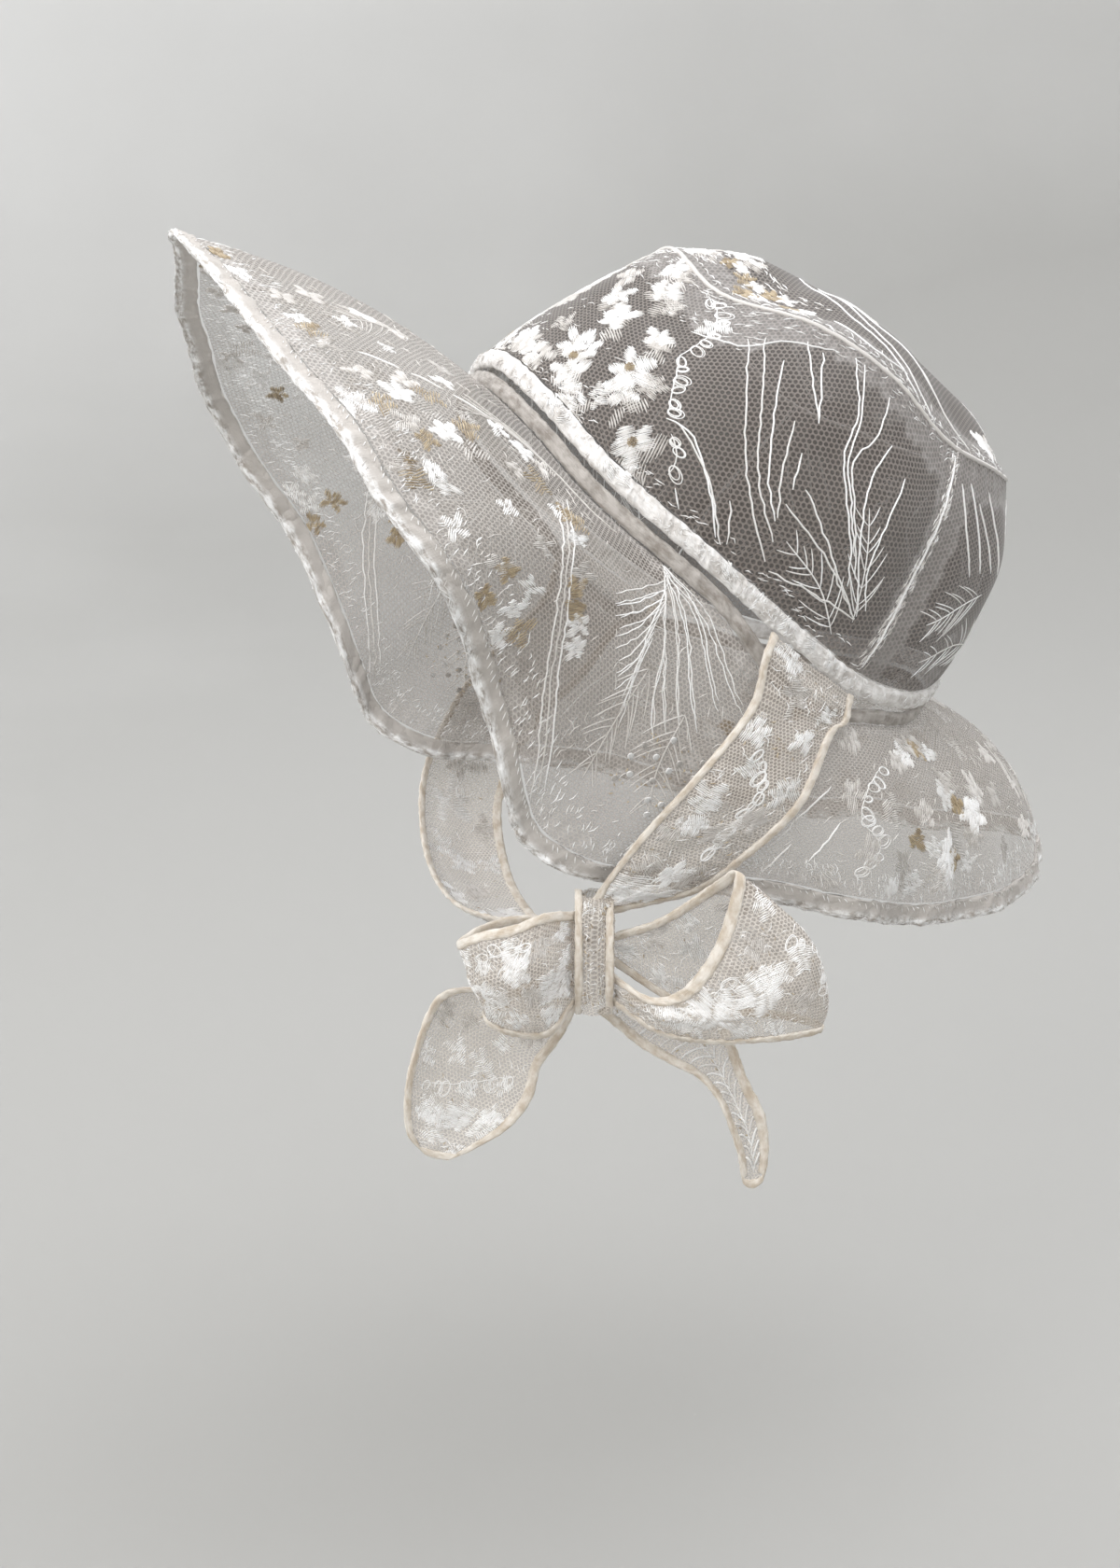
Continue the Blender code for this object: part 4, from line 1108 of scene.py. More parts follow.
def knot_point(turn, row):
    """The knot's cloth: turn goes round in degrees, and row runs down its rows."""
    stations = np.arange(len(KNOT_ROWS), dtype=float)
    table = np.array(KNOT_ROWS, float)
    up, half_width, half_depth, shift = (smooth(stations, table[:, k], row) for k in range(4))
    around = np.radians(turn)
    pull = 1 + 0.05 * np.sin(around * 9 + 2 * np.sin(row * 2)) - 0.04 * np.cos(around * 5)
    local = np.stack((half_width * squared(np.cos(around), KNOT_SQUARENESS) * pull + shift,
                      half_depth * squared(np.sin(around), KNOT_SQUARENESS) * pull, up), -1)
    return KNOT + local @ KNOT_AXES


knot = Patch(knot_point, np.arange(72) * 5.0, np.linspace(0, len(KNOT_ROWS) - 1, 30), closed=True)


# Stitched motifs of each piece: places are given as on the patch, sizes in millimetres

Spot = namedtuple("Spot", "first second size turn")
SIDE_FLOWERS = [Spot(10.8, 0.61, 9, 10), Spot(18.8, 0.52, 11, 40), Spot(17.2, 0.26, 11, 80),
                Spot(10.2, 0.07, 8, 0), Spot(2.5, 0.14, 9, 30), Spot(23.5, 0.13, 11, 55),
                Spot(28.5, 0.06, 9, 20), Spot(18.8, 0.81, 10, 0), Spot(14, 0.93, 9, 50),
                Spot(33.5, 0.37, 14, 0), Spot(31.5, 0.59, 8, 30), Spot(36.2, 0.26, 10, 70),
                Spot(45.5, 0.11, 13, 20)]
SIDE_CENTRES = [(33.5, 0.37), (45.5, 0.11), (21.0, 0.21)]
SIDE_CURLS = [((29, 0.95), (36.5, 0.87), (40.4, 0.76), (40, 0.66), (39.8, 0.57), (42.5, 0.48),
               (45, 0.39), (47.2, 0.31)), ((50, 0.24), (54, 0.18), (55, 0.10))]
SIDE_LINES = [((49.3, 0.30), (53.5, 0.27), (62.5, 0.17), (70.5, 0.02)),
              ((47.5, 0.29), (51.2, 0.30), (60.5, 0.20), (68.8, 0.03)),
              ((48.2, 0.81), (58.5, 0.51), (65, 0.33), (72.5, 0.18), (78.8, 0.09)),
              ((51, 0.84), (60.8, 0.55), (69.2, 0.30), (77.8, 0.16)),
              ((57.8, 0.78), (65.2, 0.50), (70.5, 0.33), (75.8, 0.22)),
              ((67.5, 0.58), (72.2, 0.36), (75.8, 0.24)),
              ((59.2, 0.91), (71.5, 0.64)), ((64, 0.90), (71.8, 0.63)), ((72.2, 0.50), (74.8, 0.36)),
              ((71.2, 0.96), (78.2, 0.75), (79.5, 0.61), (84.8, 0.47), (91.8, 0.32), (94.8, 0.23)),
              ((73.8, 0.96), (79.2, 0.75), (80.8, 0.60), (86, 0.47), (92.2, 0.33)),
              ((83.2, 0.92), (84.2, 0.77), (82, 0.60), (86.5, 0.48), (95.5, 0.27)),
              ((88, 0.77), (86.8, 0.62), (91.2, 0.40), (101, 0.17)),
              ((94, 0.71), (94.5, 0.49), (98.2, 0.28), (102, 0.21)),
              ((57.5, 0.08), (60.6, 0.02)), ((67, 0.18), (71.5, 0.04)),
              ((100.8, 0.15), (87.8, 0.28), (76.8, 0.40)), ((100.8, 0.15), (88, 0.25), (75.5, 0.30)),
              ((100.8, 0.15), (90, 0.12), (80.8, 0.07))]
SIDE_SEAM = [(110.6, 0.02), (110, 0.2), (109.6, 0.5), (109.8, 0.75), (110, 0.97)]
TURNED_EDGE = [(36, 0.72), (42, 0.735), (49.2, 0.76), (54, 0.85), (60.8, 0.9), (66.8, 0.94)]
BACK_LINES = [((114.2, 0.88), (120, 0.71), (127.2, 0.55)), ((118, 0.90), (125, 0.74), (131, 0.58)),
              ((123.5, 0.84), (130.2, 0.72), (135.5, 0.60)), ((128, 0.90), (134, 0.76), (140, 0.60))]
TIP_LINES = [((12, 0.57), (40, 0.50), (69, 0.28), (93, 0.05)),
             ((25, 0.70), (56, 0.50), (80, 0.25), (100, 0.03)),
             ((15, 0.67), (50, 0.60), (90, 0.35), (107, 0.17)),
             ((60, 0.20), (75, 0.10), (88, 0.12)), ((98, 0.30), (110, 0.12), (118, 0.03))]
BRIM_FLOWERS = [Spot(30.8, 0.96, 10, 0), Spot(29.8, 0.76, 10, 30), Spot(35.8, 0.69, 9, 60),
                Spot(37.8, 0.32, 9, 10), Spot(136, 0.73, 14, 20), Spot(135, 0.83, 10, 50),
                Spot(139.2, 0.43, 10, 0), Spot(145.2, 0.57, 11, 40), Spot(130.8, 0.18, 9, 70),
                Spot(127.2, 0.89, 9, 0), Spot(122.5, 0.93, 8, 30)]
BRIM_GOLD = [(36.8, 0.79), (53.8, 0.82), (49.2, 0.36), (58.8, 0.55), (61, 0.59), (137.5, 0.14),
             (127.5, 0.65), (141.8, 0.50), (138.2, 0.77), (-59.5, 0.96), (-7.8, 0.97)]
BRIM_CURLS = [(121.5, 0.24), (117.5, 0.36), (116.2, 0.46), (116, 0.57), (118, 0.63), (119, 0.71),
              (117.5, 0.80), (115.8, 0.87)]
# Places of sparse gold flowers on the near side of the brim that stand for the shadows under the white
# flowers: painted shade
BRIM_PAINTED_SHADE = [(18.2, 0.88), (31, 0.85), (29.8, 0.64), (35.5, 0.57), (44, 0.38), (50.8, 0.34),
              (41, 0.92), (60.2, 0.88)]
BRIM_FAN = [((63.5, 0.01), (69.8, 0.07), (86, 0.32)), ((63.5, 0.01), (70.5, 0.03), (87, 0.21)),
            ((63.8, 0.01), (72.5, 0.02), (91, 0.15)), ((64, 0.02), (71.5, 0.21), (82.5, 0.41)),
            ((64, 0.01), (70.6, 0.12), (84, 0.37)), ((73.2, 0.24), (76.2, 0.35), (81.8, 0.46)),
            ((66.2, 0.05), (64.2, 0.18), (62, 0.35)), ((67.8, 0.14), (66.5, 0.28), (65.2, 0.38)),
            ((68.2, 0.14), (68.2, 0.33), (67.2, 0.44)), ((69.5, 0.23), (70.5, 0.37), (70, 0.47)),
            ((70, 0.25), (71.8, 0.41), (71.5, 0.50)), ((71, 0.32), (73, 0.44), (74.2, 0.51)),
            ((67, 0.1), (65.6, 0.23), (63.6, 0.37)), ((66.6, 0.07), (70.2, 0.3), (76, 0.55))]
BRIM_LINES = [((111, 0.37), (106.8, 0.58), (104.2, 0.80)), ((112.8, 0.58), (111.5, 0.69), (109.8, 0.84)),
              ((106.8, 0.75), (105.8, 0.86), (105, 0.97)),
              ((22.2, 0.77), (24.8, 0.65)), ((25.4, 0.62), (28, 0.52)), ((28.6, 0.50), (31.8, 0.40))]


SIDE_FERNS = [((101, 0.14), ((-8, 14), (-20, 30))), ((99, 0.05), ((-14, 8), (-34, 12)))]
BACK_FERNS = [((136, 0.50), ((-14, -8), (-26, -16))), ((150, 0.22), ((-20, 2), (-40, -6))),
              ((224, 0.50), ((14, -8), (26, -16))), ((210, 0.22), ((20, 2), (40, -6)))]
BRIM_FERNS = [(74, 0.36), (84, 0.34), (98, 0.45), (10, 0.4), (170, 0.4)]
TIP_GOLD = [(16, 0.16), (26, 0.17), (36, 0.22), (46, 0.16), (33, 0.09), (344, 0.2), (330, 0.15)]
TIP_FLOWERS = [(4, 0.10), (352, 0.10), (12, 0.26), (356, 0.24), (200, 0.3), (160, 0.3),
               (180, 0.14), (222, 0.16), (138, 0.16), (60, 0.62), (300, 0.6), (180, 0.7)]


def both_sides(places, shift=360.0):
    """The places, and the same on the hat's other side, which may be a little moved."""
    return places, tuple((shift - place[0], *place[1:]) for place in places)


def stitch_lines(thread, patch, table, width, shift=360.0, **more):
    """Every line of a table, on both sides of the hat."""
    for line in table:
        for places in both_sides(line, shift):
            thread.curve(patch, places, width, **more)


def stitch_side(white, gold, pale):
    """White flowers over paler ones at the front, then curls, long lines, ferns and seams."""
    for spot in SIDE_FLOWERS:
        for angle, turn in ((spot.first, spot.turn), (3 - spot.first, 40 - spot.turn)):
            flower(white, crown_side, (angle, spot.second), spot.size * 1.4, turn)
            flower(pale, crown_side, (angle + 3, spot.second - 0.05), spot.size * 1.5, turn + 40, 4, 0.95)
    for place in scattered(crown_side, (-48, 44), (0.06, 0.96), 15):
        thread = white if CHANCE.random() < 0.35 else pale
        flower(thread, crown_side, place, CHANCE.uniform(9, 14), place[0] * 13, 5, 0.6)
    for places in both_sides(SIDE_CENTRES, 3.0):
        for place in places:
            flower_centre(gold, crown_side, place, 3.4)
    for chain in SIDE_CURLS:
        for places in both_sides(chain, 2.0):
            curls(white, crown_side, places)
    stitch_lines(white, crown_side, SIDE_LINES, 0.64, 2.0, drift=0.22, step=2.8, ends=0.5)
    for root, spine in SIDE_FERNS:
        fern(white, crown_side, root, spine, 11, pairs=7)
        fern(white, crown_side, (2 - root[0], root[1]), [(-x, y) for x, y in spine], 11, pairs=7)
    for firsts, seconds, count in (((-50, 52), (0.72, 0.99), 150), ((-30, 36), (0.0, 0.5), 90),
                                   ((-111, 111), (0.93, 0.99), 160), ((-111, 111), (0.01, 0.07), 160)):
        sprinkle(white, crown_side, firsts, seconds, count, way=20, width=0.42)
    for side in (-1, 1):
        white.curve(crown_side, [(side * a, r) for a, r in SIDE_SEAM], 0.9, drift=0.15)
        white.curve(crown_side, [(side * a, r) for a, r in TURNED_EDGE], 0.7, drift=0.2)
        for thread, count in ((pale, 190), (white, 90)):
            sprinkle(thread, crown_side, sorted((side * 108.3, side * 111.6)), (0.02, 0.98), count,
                     way=80, width=0.45)


def stitch_back(white, gold, pale):
    """Lines and ferns beside the seams, and long strokes down the middle."""
    stitch_lines(white, crown_back, BACK_LINES, 0.75, drift=0.12)
    for root, spine in BACK_FERNS:
        fern(white, crown_back, root, spine, 12, pairs=8)
    for top in range(150, 220, 10):
        white.curve(crown_back, ((top, 0.92), (top + 4, 0.66), (top - 1, 0.45), (top + 3, 0.25)), 0.75,
                    drift=0.15)
    for places in both_sides(((146, 0.88), (148, 0.6), (145, 0.36))):
        curls(white, crown_back, places)
    for place in ((168, 0.14), (181, 0.17), (194, 0.13)):
        flower(white, crown_back, place, 12, place[0])
        flower_centre(gold, crown_back, place, 3.5)


def stitch_tip(white, gold, pale):
    """The corded seam round the tip, and flowers and lines inside it."""
    stitch_lines(white, tip, TIP_LINES, 0.66, drift=0.22, step=2.8, ends=0.5)
    turns = np.arange(0, 363, 1.5)
    ridge = tip_seam(turns) + CHANCE.normal(size=(len(turns), 1)) * 0.05
    pale.strand(ridge, unit(tip.at(turns % 360, 0 * turns)[1] + ring_outward(turns)), 1.9, 0.8, ends=1.0)
    for turn in np.arange(0, 360, 3.5):
        white.on(tip, [turn, turn + 1.3, turn + 2.6], [0.045, 0.05, 0.045], 0.5)
    for place in TIP_GOLD:
        flower(gold, tip, place, 9, place[0] * 3)
        flower(white, tip, (place[0] + 4, place[1] + 0.03), 8, place[0])
    for place in TIP_FLOWERS:
        flower(white, tip, place, 13, place[0] * 2)
        flower(pale, tip, (place[0] + 6, place[1]), 13, place[0], 4, 0.95)
    sprinkle(white, tip, (-30, 55), (0.05, 0.35), 150, way=0)
    sprinkle(white, tip, (0, 360), (0.02, 0.12), 220, width=0.4)
    curls(white, tip, ((240, 0.15), (262, 0.3), (280, 0.2)))


def stitch_brim(white, gold, pale):
    """Flowers, brown blots of gold thread, sparse gold flowers on the near side as painted shade, curls,
    lines, the fan behind the slot, the stripe and the ferns.
    """
    for spot in BRIM_FLOWERS:
        for angle in (spot.first, 357 - spot.first):
            flower(white, brim, (angle, spot.second), spot.size * 1.25, spot.turn + angle)
            flower(pale, brim, (angle + 3, spot.second - 0.06), spot.size * 1.3, angle, 4, 0.95)
    for place in BRIM_GOLD:
        for angle in (place[0] % 360, (356 - place[0]) % 360):
            flower(gold, brim, (angle, place[1]), 9, angle)
            flower(white, brim, (angle + 4, min(0.97, place[1] + 0.05)), 9, angle)
    for place in scattered(brim, (8, 58), (0.35, 0.95), 13) + scattered(brim, (302, 352), (0.35, 0.95), 14):
        thread = white if CHANCE.random() < 0.45 else pale
        flower(thread, brim, place, CHANCE.uniform(7, 12), place[0] * 7, 4, 0.6)
    for place in scattered(brim, (112, 248), (0.1, 0.95), 17):
        flower(pale, brim, place, CHANCE.uniform(8, 13), place[0] * 7, 5, 0.7)
    for places in both_sides(BRIM_CURLS):
        curls(white, brim, places)
    stitch_lines(white, brim, BRIM_LINES, 0.7, drift=0.2)
    # Painted shade: sparse gold flowers where the brim is in shadow, on the near side only
    for place in BRIM_PAINTED_SHADE:
        flower(gold, brim, place, 12, place[0], 5, 0.9)
    for line in BRIM_FAN:
        for places in both_sides(line):
            white.curve(brim, places, 0.48, drift=0.2)
            white.curve(brim, [(angle + 1.1, share + 0.03) for angle, share in places], 0.4, drift=0.25)
    for sign, root in ((1, 62.2), (-1, 297.8)):
        for shift, thread in ((-0.035, white), (0.0, pale), (0.035, white)):
            thread.curve(brim, [(sign * a % 360, s + shift) for a, s in BRIM_STRIPE], 0.6, drift=0.25)
        for k in range(6):
            sweep = [(root - sign * (8 + 2 * k), 0.10 + 0.012 * k),
                     (root - sign * (22 + 1.5 * k), 0.2 + 0.02 * k),
                     (root - sign * (35 - k), 0.42 + 0.03 * k)]
            pale.curve(brim, sweep, 0.5, drift=0.15)
        for angle, share in BRIM_FERNS:
            fern(pale, brim, (sign * angle % 360, share), ((sign * 4, 16), (sign * 12, 34)), 12)
        seeds = sorted((sign * 82 % 360, sign * 95 % 360))
        sprinkle(gold, brim, seeds, (0.42, 0.75), 60, length=(0.7, 1.6))
        for place in scattered(brim, seeds, (0.42, 0.75), 4.0, tries=60):
            flower_centre(CHANCE.choice((white, pale, white)), brim, place, 1.6)
    for start in range(0, 360, 12):
        sprinkle(white, brim, (start, start + 12), (0.84, 0.985), 42, way=70, width=0.42)
        sprinkle(pale, brim, (start, start + 12), (0.2, 0.9), 26, length=(1.5, 5.0), width=0.42)


def stitch_ribbon(white, gold, pale, ribbon, gap, loose, spots, chains):
    """Big flowers at their own places, then smaller ones all over, and loose stitches between."""
    patch, last = ribbon.patch, min(ribbon.last, ribbon.patch.firsts[-1]) - 0.25
    for spot in spots:
        flower(white, patch, (spot.first, spot.second), spot.size, spot.turn, petals=8)
    for chain in chains:
        curls(white, patch, chain, radius=1.8, spacing=3.8)
    for place in scattered(patch, (0.2, last), (0.1, 0.9), gap):
        thread = white if CHANCE.random() < 0.75 else pale
        flower(thread, patch, place, CHANCE.uniform(0.8, 1.3) * gap, place[0] * 50, 5, 0.62)
    sprinkle(white, patch, (0.2, last), (0.05, 0.95), loose, length=(1.5, 5.0), width=0.42)
    sprinkle(gold, patch, (0.3, last), (0.1, 0.9), loose // 5, length=(0.8, 2.2), width=0.42)


def stitch_crown_tape(white, gold, pale, face):
    """Fine stitches all round, and lace flowers that lap over the tape at both sides."""
    for angles, count in (((0, 360), 420), ((60, 108), 160), ((252, 300), 160)):
        for thread, number in ((white, count), (pale, count // 2)):
            sprinkle(thread, face, angles, (0.15, 0.85), number, length=(0.8, 2.6), width=0.36)
    for angle in (27, 31, 45, 49, 74, 82, 89, 96, 102):
        for place in ((angle, 0.62), (360 - angle, 0.62)):
            flower(white, face, place, 6.5, angle * 11, 4, 0.6)


def stitch_edge_tape(white, gold, pale, face):
    """Slanted stitches on the hem's face, and frayed ends along its outer edge."""
    for angle in np.arange(0, 360, 0.9):
        for thread, share in ((white, 0.1), (pale, 0.55)):
            place = angle + CHANCE.uniform(0, 0.5)
            slant = CHANCE.uniform(0.05, 0.28)
            thread.on(face, [place, place + 0.25, place + 0.5], [share, share + slant / 2, share + slant],
                      0.4, lift=0.1)
        place = angle + CHANCE.uniform(0, 0.9)
        white.on(face, [place, place + 0.5, place + CHANCE.uniform(0.6, 1.4)],
                 CHANCE.uniform(0.72, 0.99, 3), 0.45, lift=0.12)


def stitch_tail_back(white, gold, pale):
    """Strokes from both edges of the narrow tail towards its middle."""
    for station in np.arange(0.6, 7.3, 0.36):
        for start, sign, reach in ((0.04, 1, 0.55), (0.96, -1, 0.4)):
            seconds = start + sign * np.linspace(0, reach, 6)
            firsts = station + np.linspace(0, 1, 6) ** 1.6 * 0.5
            white.on(tail_back.patch, firsts, seconds, 0.8, lift=0.2)
    white.curve(tail_back.patch, [(0.4, 0.5), (3, 0.5), (7.3, 0.5)], 0.5, drift=0.1)
    sprinkle(gold, tail_back.patch, (0.5, 7.3), (0.1, 0.9), 12, length=(0.8, 1.8))


def stitch_knot(white, gold, pale):
    sprinkle(white, knot, (0, 360), (0.4, 4.6), 260, length=(1.0, 2.6), width=0.42)
    sprinkle(gold, knot, (0, 360), (0.5, 4.5), 190, length=(0.7, 1.6), width=0.42)
    sprinkle(pale, knot, (0, 360), (0.4, 4.6), 120, length=(1.0, 2.6), width=0.42)


# Dressing the object

# Dark net under organza: the crown's ground, with its six-sided holes drawn in grey thread
CROWN_LACE = sheer_lace("sheer_crown_organza_and_net", "413A35", "7D756F", "A19D9A", 0.70, 0.82)
# Thin pale organza over net: sheer enough that the brim's far side shows through it
BRIM_LACE = sheer_lace("sheer_brim_organza_and_net", "7F766E", "B5AEA7", "CAC5C1", 0.36, 0.68)
# Creamy organza with a finer net: the ribbon looks warmer and closer woven than the brim
RIBBON_LACE = sheer_lace("sheer_ribbon_organza_and_net", "ABA095", "DDD5CC", "E4DDD6", 0.4, 0.72,
                         cell=1.35)
# Matt white woven tape, creased over its padding: the brightest and most solid line
WHITE_TAPE = woven_tape("matt_white_padded_tape", "F4F2F0", "C9C4BF")
# Folded white organza: nearly solid at the edge, a little see-through on the inner half
HEM_TAPE = woven_tape("matt_sheer_white_folded_hem", "FFFFFF", "ABA39B", cover=0.97,
                      second="CFC9C3", second_cover=0.72, grain=(0.4, 0.7, 1.0), sheen=0.15)
# Folded grey organza under the crown tape: a quiet line, greyer than the tapes
FOLD_TAPE = woven_tape("matt_grey_folded_cloth", "C6C0BA", "968E86", cover=0.88)
# Matt cream woven tape: a warm thin line along each edge of the ribbon
CREAM_TAPE = woven_tape("matt_cream_folded_tape", "E9E2D8", "C6B8A6")
# Satin thread: clean white with small highlights
WHITE_THREAD = satin_thread("shiny_white_embroidery_thread", "FFFFFF", "ECE9E6", 0.32)
# The same in gold brown, duller, for the blots and centres, and for the sparse flowers that are painted
# shade on the brim
GOLD_THREAD = satin_thread("gold_brown_embroidery_thread", "C4B292", "948166", 0.4)
# The same in pale grey, which makes a soft second layer under the white
PALE_THREAD = satin_thread("pale_grey_embroidery_thread", "E2DEDA", "C6C0BA", 0.4)


def declare(piece, slot_name, *nodes):
    """Puts a piece on the hat's one body and hides the CAD nodes that it stands for, if any."""
    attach(piece, "root")
    if nodes:
        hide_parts(*nodes)
    return piece


def embroider(name, slot_name, stitch, *more):
    """Runs one stitching function and returns its white, gold and pale threads."""
    kinds = Threads(), Threads(), Threads()
    stitch(*kinds, *more)
    return [declare(threads.made(name + suffix, material), slot_name) for threads, suffix, material
            in zip(kinds, ("", "_gold", "_pale"), (WHITE_THREAD, GOLD_THREAD, PALE_THREAD))
            if threads.paths]


def dress_cloth():
    """The panels of the crown and the brim, each with its embroidery."""
    pole = tip_point(np.array(0.0), np.array(1.0))
    for (node, patch, lace, flat_place, double, top, slot_name, stitch, flat, held, rests_on,
         area) in (
            ("crown_side", crown_side, CROWN_LACE, crown_pattern, crown_turned, None, "crown_lace",
             stitch_side, (0.345, 0.076), "gathered", ["crown_binding"], 0.0255),
            ("crown_back", crown_back, CROWN_LACE, crown_pattern, crown_turned, None, "crown_lace",
             stitch_back, (0.215, 0.078), "gathered", ["crown_binding"], 0.0150),
            ("crown_tip", tip, CROWN_LACE, tip_pattern, tip_turned, pole, "crown_lace",
             stitch_tip, (0.152, 0.127), "stretched", ["crown_side", "crown_back"], 0.0162),
            ("brim", brim, BRIM_LACE, brim_pattern, brim_turned, None, "brim_lace",
             stitch_brim, (0.42, 0.40), "draped", ["brim_head_binding"], 0.0640)):
        threads = embroider(node + "_stitches", slot_name, stitch)
        cloth = declare(cloth_object(node + "_cloth", patch, lace, flat_place, top, double),
                        slot_name, node)


CROWN_TAPE_LAP, HEAD_TAPE_LAP = 0.5, 1.1      # how far the tapes reach over the gaps above them
HEM_FULLNESS, HEM_FACE = 0.6, 0.42            # shares of the edge tape's thickness


def dress_tapes():
    """The three padded tapes round the hat, and the stitches on the two that show most."""
    angles = np.arange(1440) * 0.25
    crown_band = ring_band(0.0, CROWN_TAPE_HEIGHT + CROWN_TAPE_LAP)
    head_band = ring_band(-GROOVE - HEAD_TAPE_HEIGHT - HEAD_TAPE_LAP,
                          HEAD_TAPE_HEIGHT + HEAD_TAPE_LAP, slot=1.0)
    for name, node, bands, places, thickness, material, *form in (
            ("crown_tape", "crown_binding", crown_band, angles, CROWN_TAPE_THICKNESS, WHITE_TAPE,
             0.5, 3.3, 0.0),
            ("head_tape", "brim_head_binding", head_band, angles[::2], HEAD_TAPE_THICKNESS, FOLD_TAPE,
             0.5, 3.3, 0.0),
            ("edge_tape", "brim_edge_binding", edge_band, angles, HEM_FULLNESS * EDGE_TAPE_THICKNESS,
             HEM_TAPE, 0.85, 6.1, 0.6)):
        piece = declare(tape_object(name, bands, places, thickness, material, *form), "white_tape",
                        node)
    embroider("crown_tape_stitches", "white_tape", stitch_crown_tape,
              tape_face(crown_band, CROWN_TAPE_THICKNESS))
    embroider("edge_tape_stitches", "white_tape", stitch_edge_tape,
              tape_face(edge_band, HEM_FACE * EDGE_TAPE_THICKNESS))


def dress_ribbon(name, ribbon, edges, stitch, *more):
    """One stretch of ribbon: its cloth, its edge tapes and its embroidery."""
    cloth = declare(cloth_object(name + "_cloth", ribbon.patch, RIBBON_LACE, ribbon.flat_place),
                    "ribbon_lace", name)
    if edges:
        paths = [(f"{name}_{edge}", ribbon.tape_path(edge == edges[1])) for edge in edges]
    else:
        paths = [(name, ribbon.tail_path())]
    pieces = [declare(narrow_tape(part + "_tape", path), "ribbon_tape", part + "_binding")
              for part, path in paths]
    pieces += embroider(name + "_stitches", "ribbon_lace", stitch, *more)


def dress_ribbons():
    """Every stretch of the ribbon with its own flowers and chains of curls."""
    dress_ribbon("near_strap", near_strap, ("front", "back"), stitch_ribbon, near_strap, 12, 160,
                 [Spot(4.7, 0.6, 11, 10), Spot(5.5, 0.55, 11, 50), Spot(3.7, 0.3, 9, 0)],
                 [((2.4, 0.33), (2.8, 0.6), (3.3, 0.65), (4.2, 0.72))])
    dress_ribbon("chin_strap", chin_strap, ("front", "back"), stitch_ribbon, chin_strap, 15, 260,
                 [Spot(k, 0.5, 12, 37 * k) for k in range(2, 10, 2)], [((3, 0.4), (4, 0.6), (5, 0.5))])
    dress_ribbon("bow_loop_front", loop_front, ("upper", "lower"), stitch_ribbon, loop_front, 8.5, 260,
                 [Spot(0.7, 0.58, 15, 0), Spot(1.8, 0.3, 12, 40), Spot(2.7, 0.6, 12, 20)],
                 [((1.2, 0.15), (2.0, 0.14), (2.9, 0.2))])
    dress_ribbon("bow_loop_back", loop_back, ("upper", "lower"), stitch_ribbon, loop_back, 10, 260,
                 [Spot(3.7, 0.42, 18, 0), Spot(2.5, 0.36, 16, 30), Spot(1.6, 0.45, 12, 60),
                  Spot(6.6, 0.4, 13, 10)],
                 [((4.4, 0.3), (5.0, 0.5), (4.6, 0.75)), ((1.5, 0.2), (2.4, 0.16), (3.3, 0.15))])
    dress_ribbon("bow_tail_front", tail_front, None, stitch_ribbon, tail_front, 9, 130,
                 [Spot(5.3, 0.3, 11, 0), Spot(5.2, 0.6, 12, 40), Spot(4.9, 0.88, 9, 10)],
                 [((4.7, 0.15), (4.5, 0.42), (4.1, 0.70), (3.6, 0.92))])
    dress_ribbon("bow_tail_back", tail_back, None, stitch_tail_back)


KNOT_MIDDLE = -2.4            # height of the knot's middle in its own axes
KNOT_TAPE_DEPTH, KNOT_TAPE_HEIGHT = 9.2, 20.2
KNOT_TAPE_OUTER, KNOT_TAPE_INNER = 6.1, 4.2
KNOT_GIRTH_MM, KNOT_ROW_MM = 0.13, 8.0        # flat cloth for each degree round and for each row


def dress_knot():
    """The knot's cloth, with a tape round each end."""
    cloth = declare(cloth_object("bow_knot_cloth", knot, RIBBON_LACE,
                                 lambda turn, row: (turn * KNOT_GIRTH_MM, row * KNOT_ROW_MM)),
                    "ribbon_lace", "bow_knot")
    turns = np.radians(np.arange(73) * 5.0)
    centre = KNOT + np.array((0.0, 0.0, KNOT_MIDDLE)) @ KNOT_AXES
    pieces = []
    for side, end in ((-1, "front"), (1, "back")):
        rings = [KNOT + np.stack((np.full(73, side * outward), KNOT_TAPE_DEPTH * np.cos(turns),
                                  KNOT_MIDDLE + KNOT_TAPE_HEIGHT * np.sin(turns)), -1) @ KNOT_AXES
                 for outward in (KNOT_TAPE_OUTER, KNOT_TAPE_INNER)]
        path = (*rings, unit(rings[0] - centre))
        pieces.append(declare(narrow_tape(f"bow_knot_{end}_tape", path), "ribbon_tape"))
    pieces += embroider("bow_knot_stitches", "ribbon_lace", stitch_knot)


# Camera, floor and light

CAMERA_AT = (0.75866, -0.35377, 0.14760)
CAMERA_TURN, CAMERA_DIP = math.radians(68.554), math.radians(16.059)
FOCAL_SHARE = 2618 / 1680     # focal length over the picture's height
SENSOR_HEIGHT = 24.0
FLOOR_AT = -0.345
SHEER_LAYERS = 48             # as many as a ray may pass through the cloth and bow


def set_camera():
    lens = bpy.data.cameras.new("camera")
    lens.sensor_fit, lens.sensor_height = "VERTICAL", SENSOR_HEIGHT
    lens.lens = SENSOR_HEIGHT * FOCAL_SHARE
    lens.clip_start, lens.clip_end = 0.01, 30.0
    camera = bpy.data.objects.new("camera", lens)
    forward = Vector((-math.sin(CAMERA_TURN) * math.cos(CAMERA_DIP),
                      math.cos(CAMERA_TURN) * math.cos(CAMERA_DIP), -math.sin(CAMERA_DIP)))
    camera.location = CAMERA_AT
    camera.rotation_euler = forward.to_track_quat("-Z", "Y").to_euler()
    bpy.context.collection.objects.link(camera)
    bpy.context.scene.camera = camera


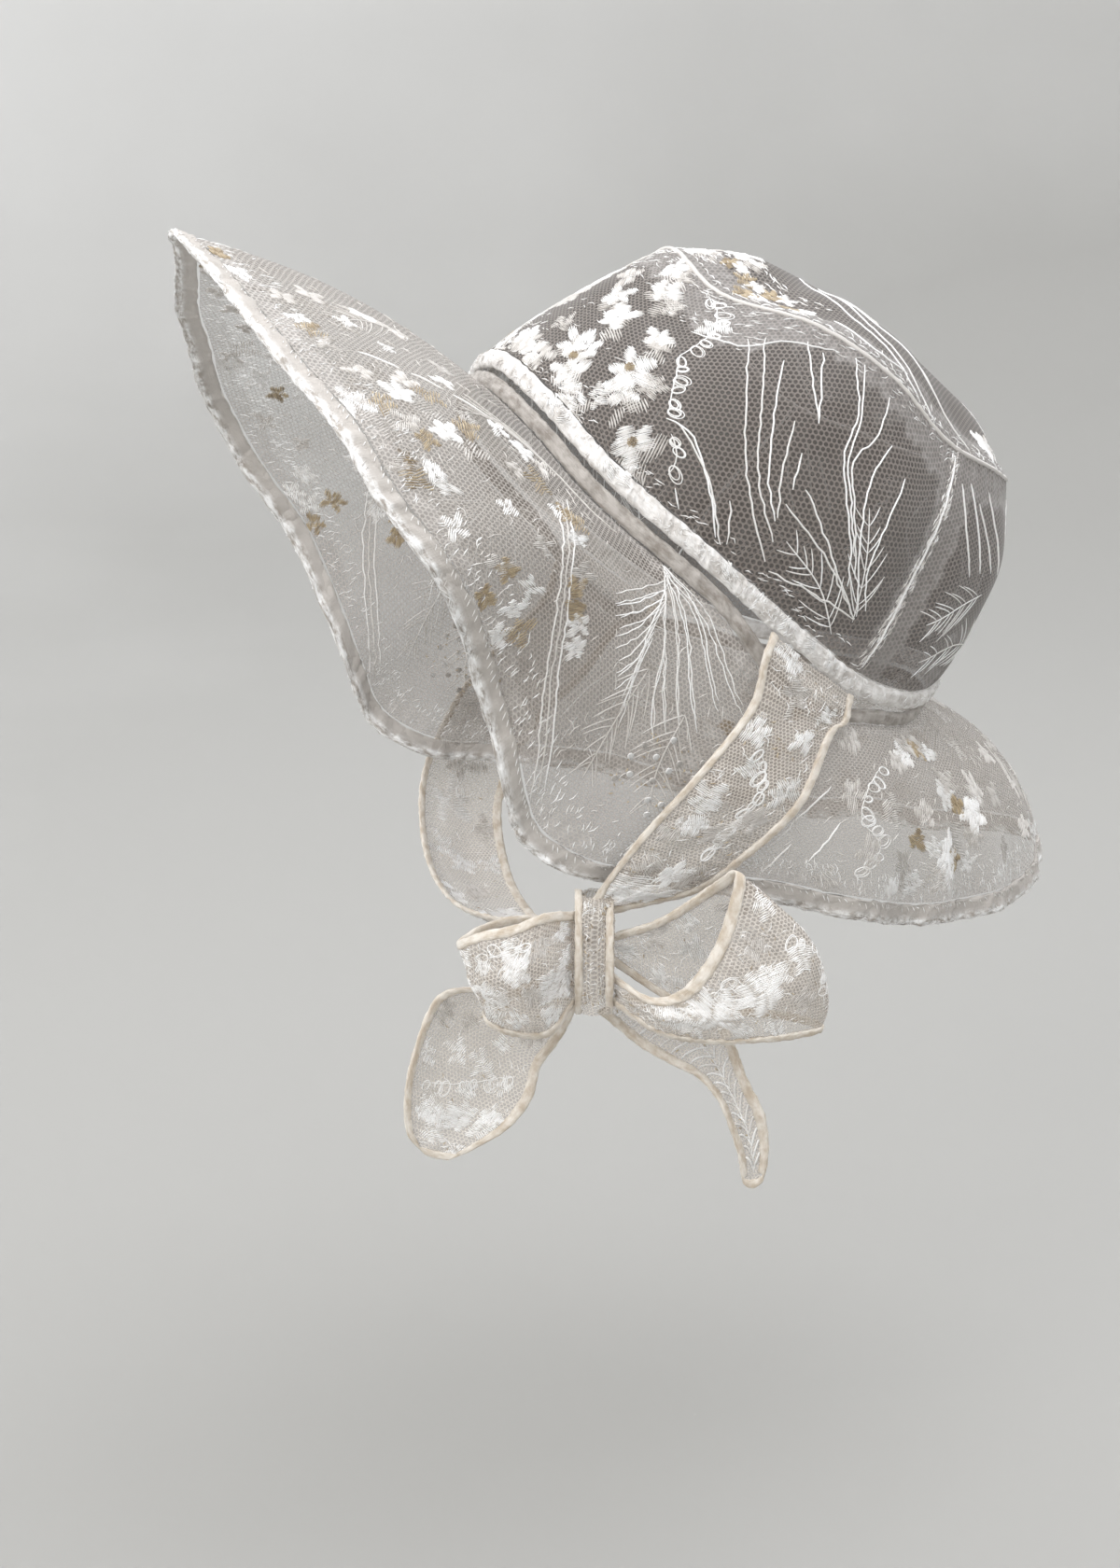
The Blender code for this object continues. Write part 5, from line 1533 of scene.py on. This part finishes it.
def set_floor():
    """A pale paper floor that sweeps up into a round wall far from the object. Its colour is painted light:
    grey on the floor, near white up the wall and a little lighter towards the front, with some random tone.
    """
    made, tree, shader = new_material("matt_pale_paper_painted_light", 0.9)
    where = add_node(tree, "ShaderNodeTexCoord").outputs["Object"]
    cloud = add_node(tree, "ShaderNodeTexNoise", {"Vector": where, "Scale": 2.2, "Detail": 3.0})
    # Painted light: a gradient that is darker low on the floor and lighter higher up the wall and towards
    # the front
    painted_light_and_tone = add_node(tree, "ShaderNodeVectorMath", {0: where, 1: (-0.12, -0.3, 1.0)},
                   operation="DOT_PRODUCT").outputs["Value"]
    painted_light_and_tone = add_node(tree, "ShaderNodeMath", {0: cloud.outputs["Fac"], 1: 0.25, 2: painted_light_and_tone},
                   operation="MULTIPLY_ADD")
    share = add_node(tree, "ShaderNodeMapRange", {"Value": painted_light_and_tone, "From Min": -0.1, "From Max": 1.5})
    # The shaded and the lit ends of the painted light
    colour = add_node(tree, "ShaderNodeMix", {0: share, 6: linear("A2A19E"), 7: linear("F8F8F7")},
                      data_type="RGBA")
    tree.links.new(colour.outputs[2], shader.inputs["Base Color"])
    profile = [(0.0001, 0.0), (0.5, 0.0), (1.0, 0.0), (1.5, 0.0), (1.9, 0.03), (2.2, 0.13), (2.4, 0.3),
               (2.5, 0.55), (2.54, 0.9), (2.55, 1.6), (2.55, 2.6)]
    turns = np.radians(np.arange(96) * 3.75)
    points = np.array([[(r * math.cos(t), r * math.sin(t), FLOOR_AT + z) for r, z in profile]
                       for t in turns]) / MM
    pattern = np.zeros((97, len(profile), 2))
    floor = grid_object("floor", points, made, pattern, (True, False), flip=True)


def add_area(name, place, target, size, power, colour):
    light = bpy.data.lights.new(name, "AREA")
    light.shape, light.size, light.energy, light.color = "DISK", size, power, linear(colour)[:3]
    holder = bpy.data.objects.new(name, light)
    holder.location = place
    holder.rotation_euler = (Vector(target) - Vector(place)).to_track_quat("-Z", "Y").to_euler()
    bpy.context.collection.objects.link(holder)


def set_light():
    """Soft daylight all round, with a window in front and a ceiling light behind."""
    scene = bpy.context.scene
    scene.view_settings.view_transform = "Standard"
    scene.cycles.transparent_max_bounces = SHEER_LAYERS
    world = bpy.data.worlds.new("soft_daylight")
    world.use_nodes = True
    sky = world.node_tree.nodes["Background"]
    sky.inputs["Color"].default_value = linear("F3F4F6")
    sky.inputs["Strength"].default_value = 1.93
    scene.world = world
    add_area("window", (0.9, -1.5, 1.1), (0.0, 0.0, 0.0), 1.1, 12.0, "FFFDFA")
    add_area("ceiling", (0.2, 0.6, 1.9), (0.0, 0.0, 0.0), 1.4, 14.0, "F8FAFF")


dress_cloth()
dress_tapes()
dress_ribbons()
dress_knot()
set_camera()
set_floor()
set_light()
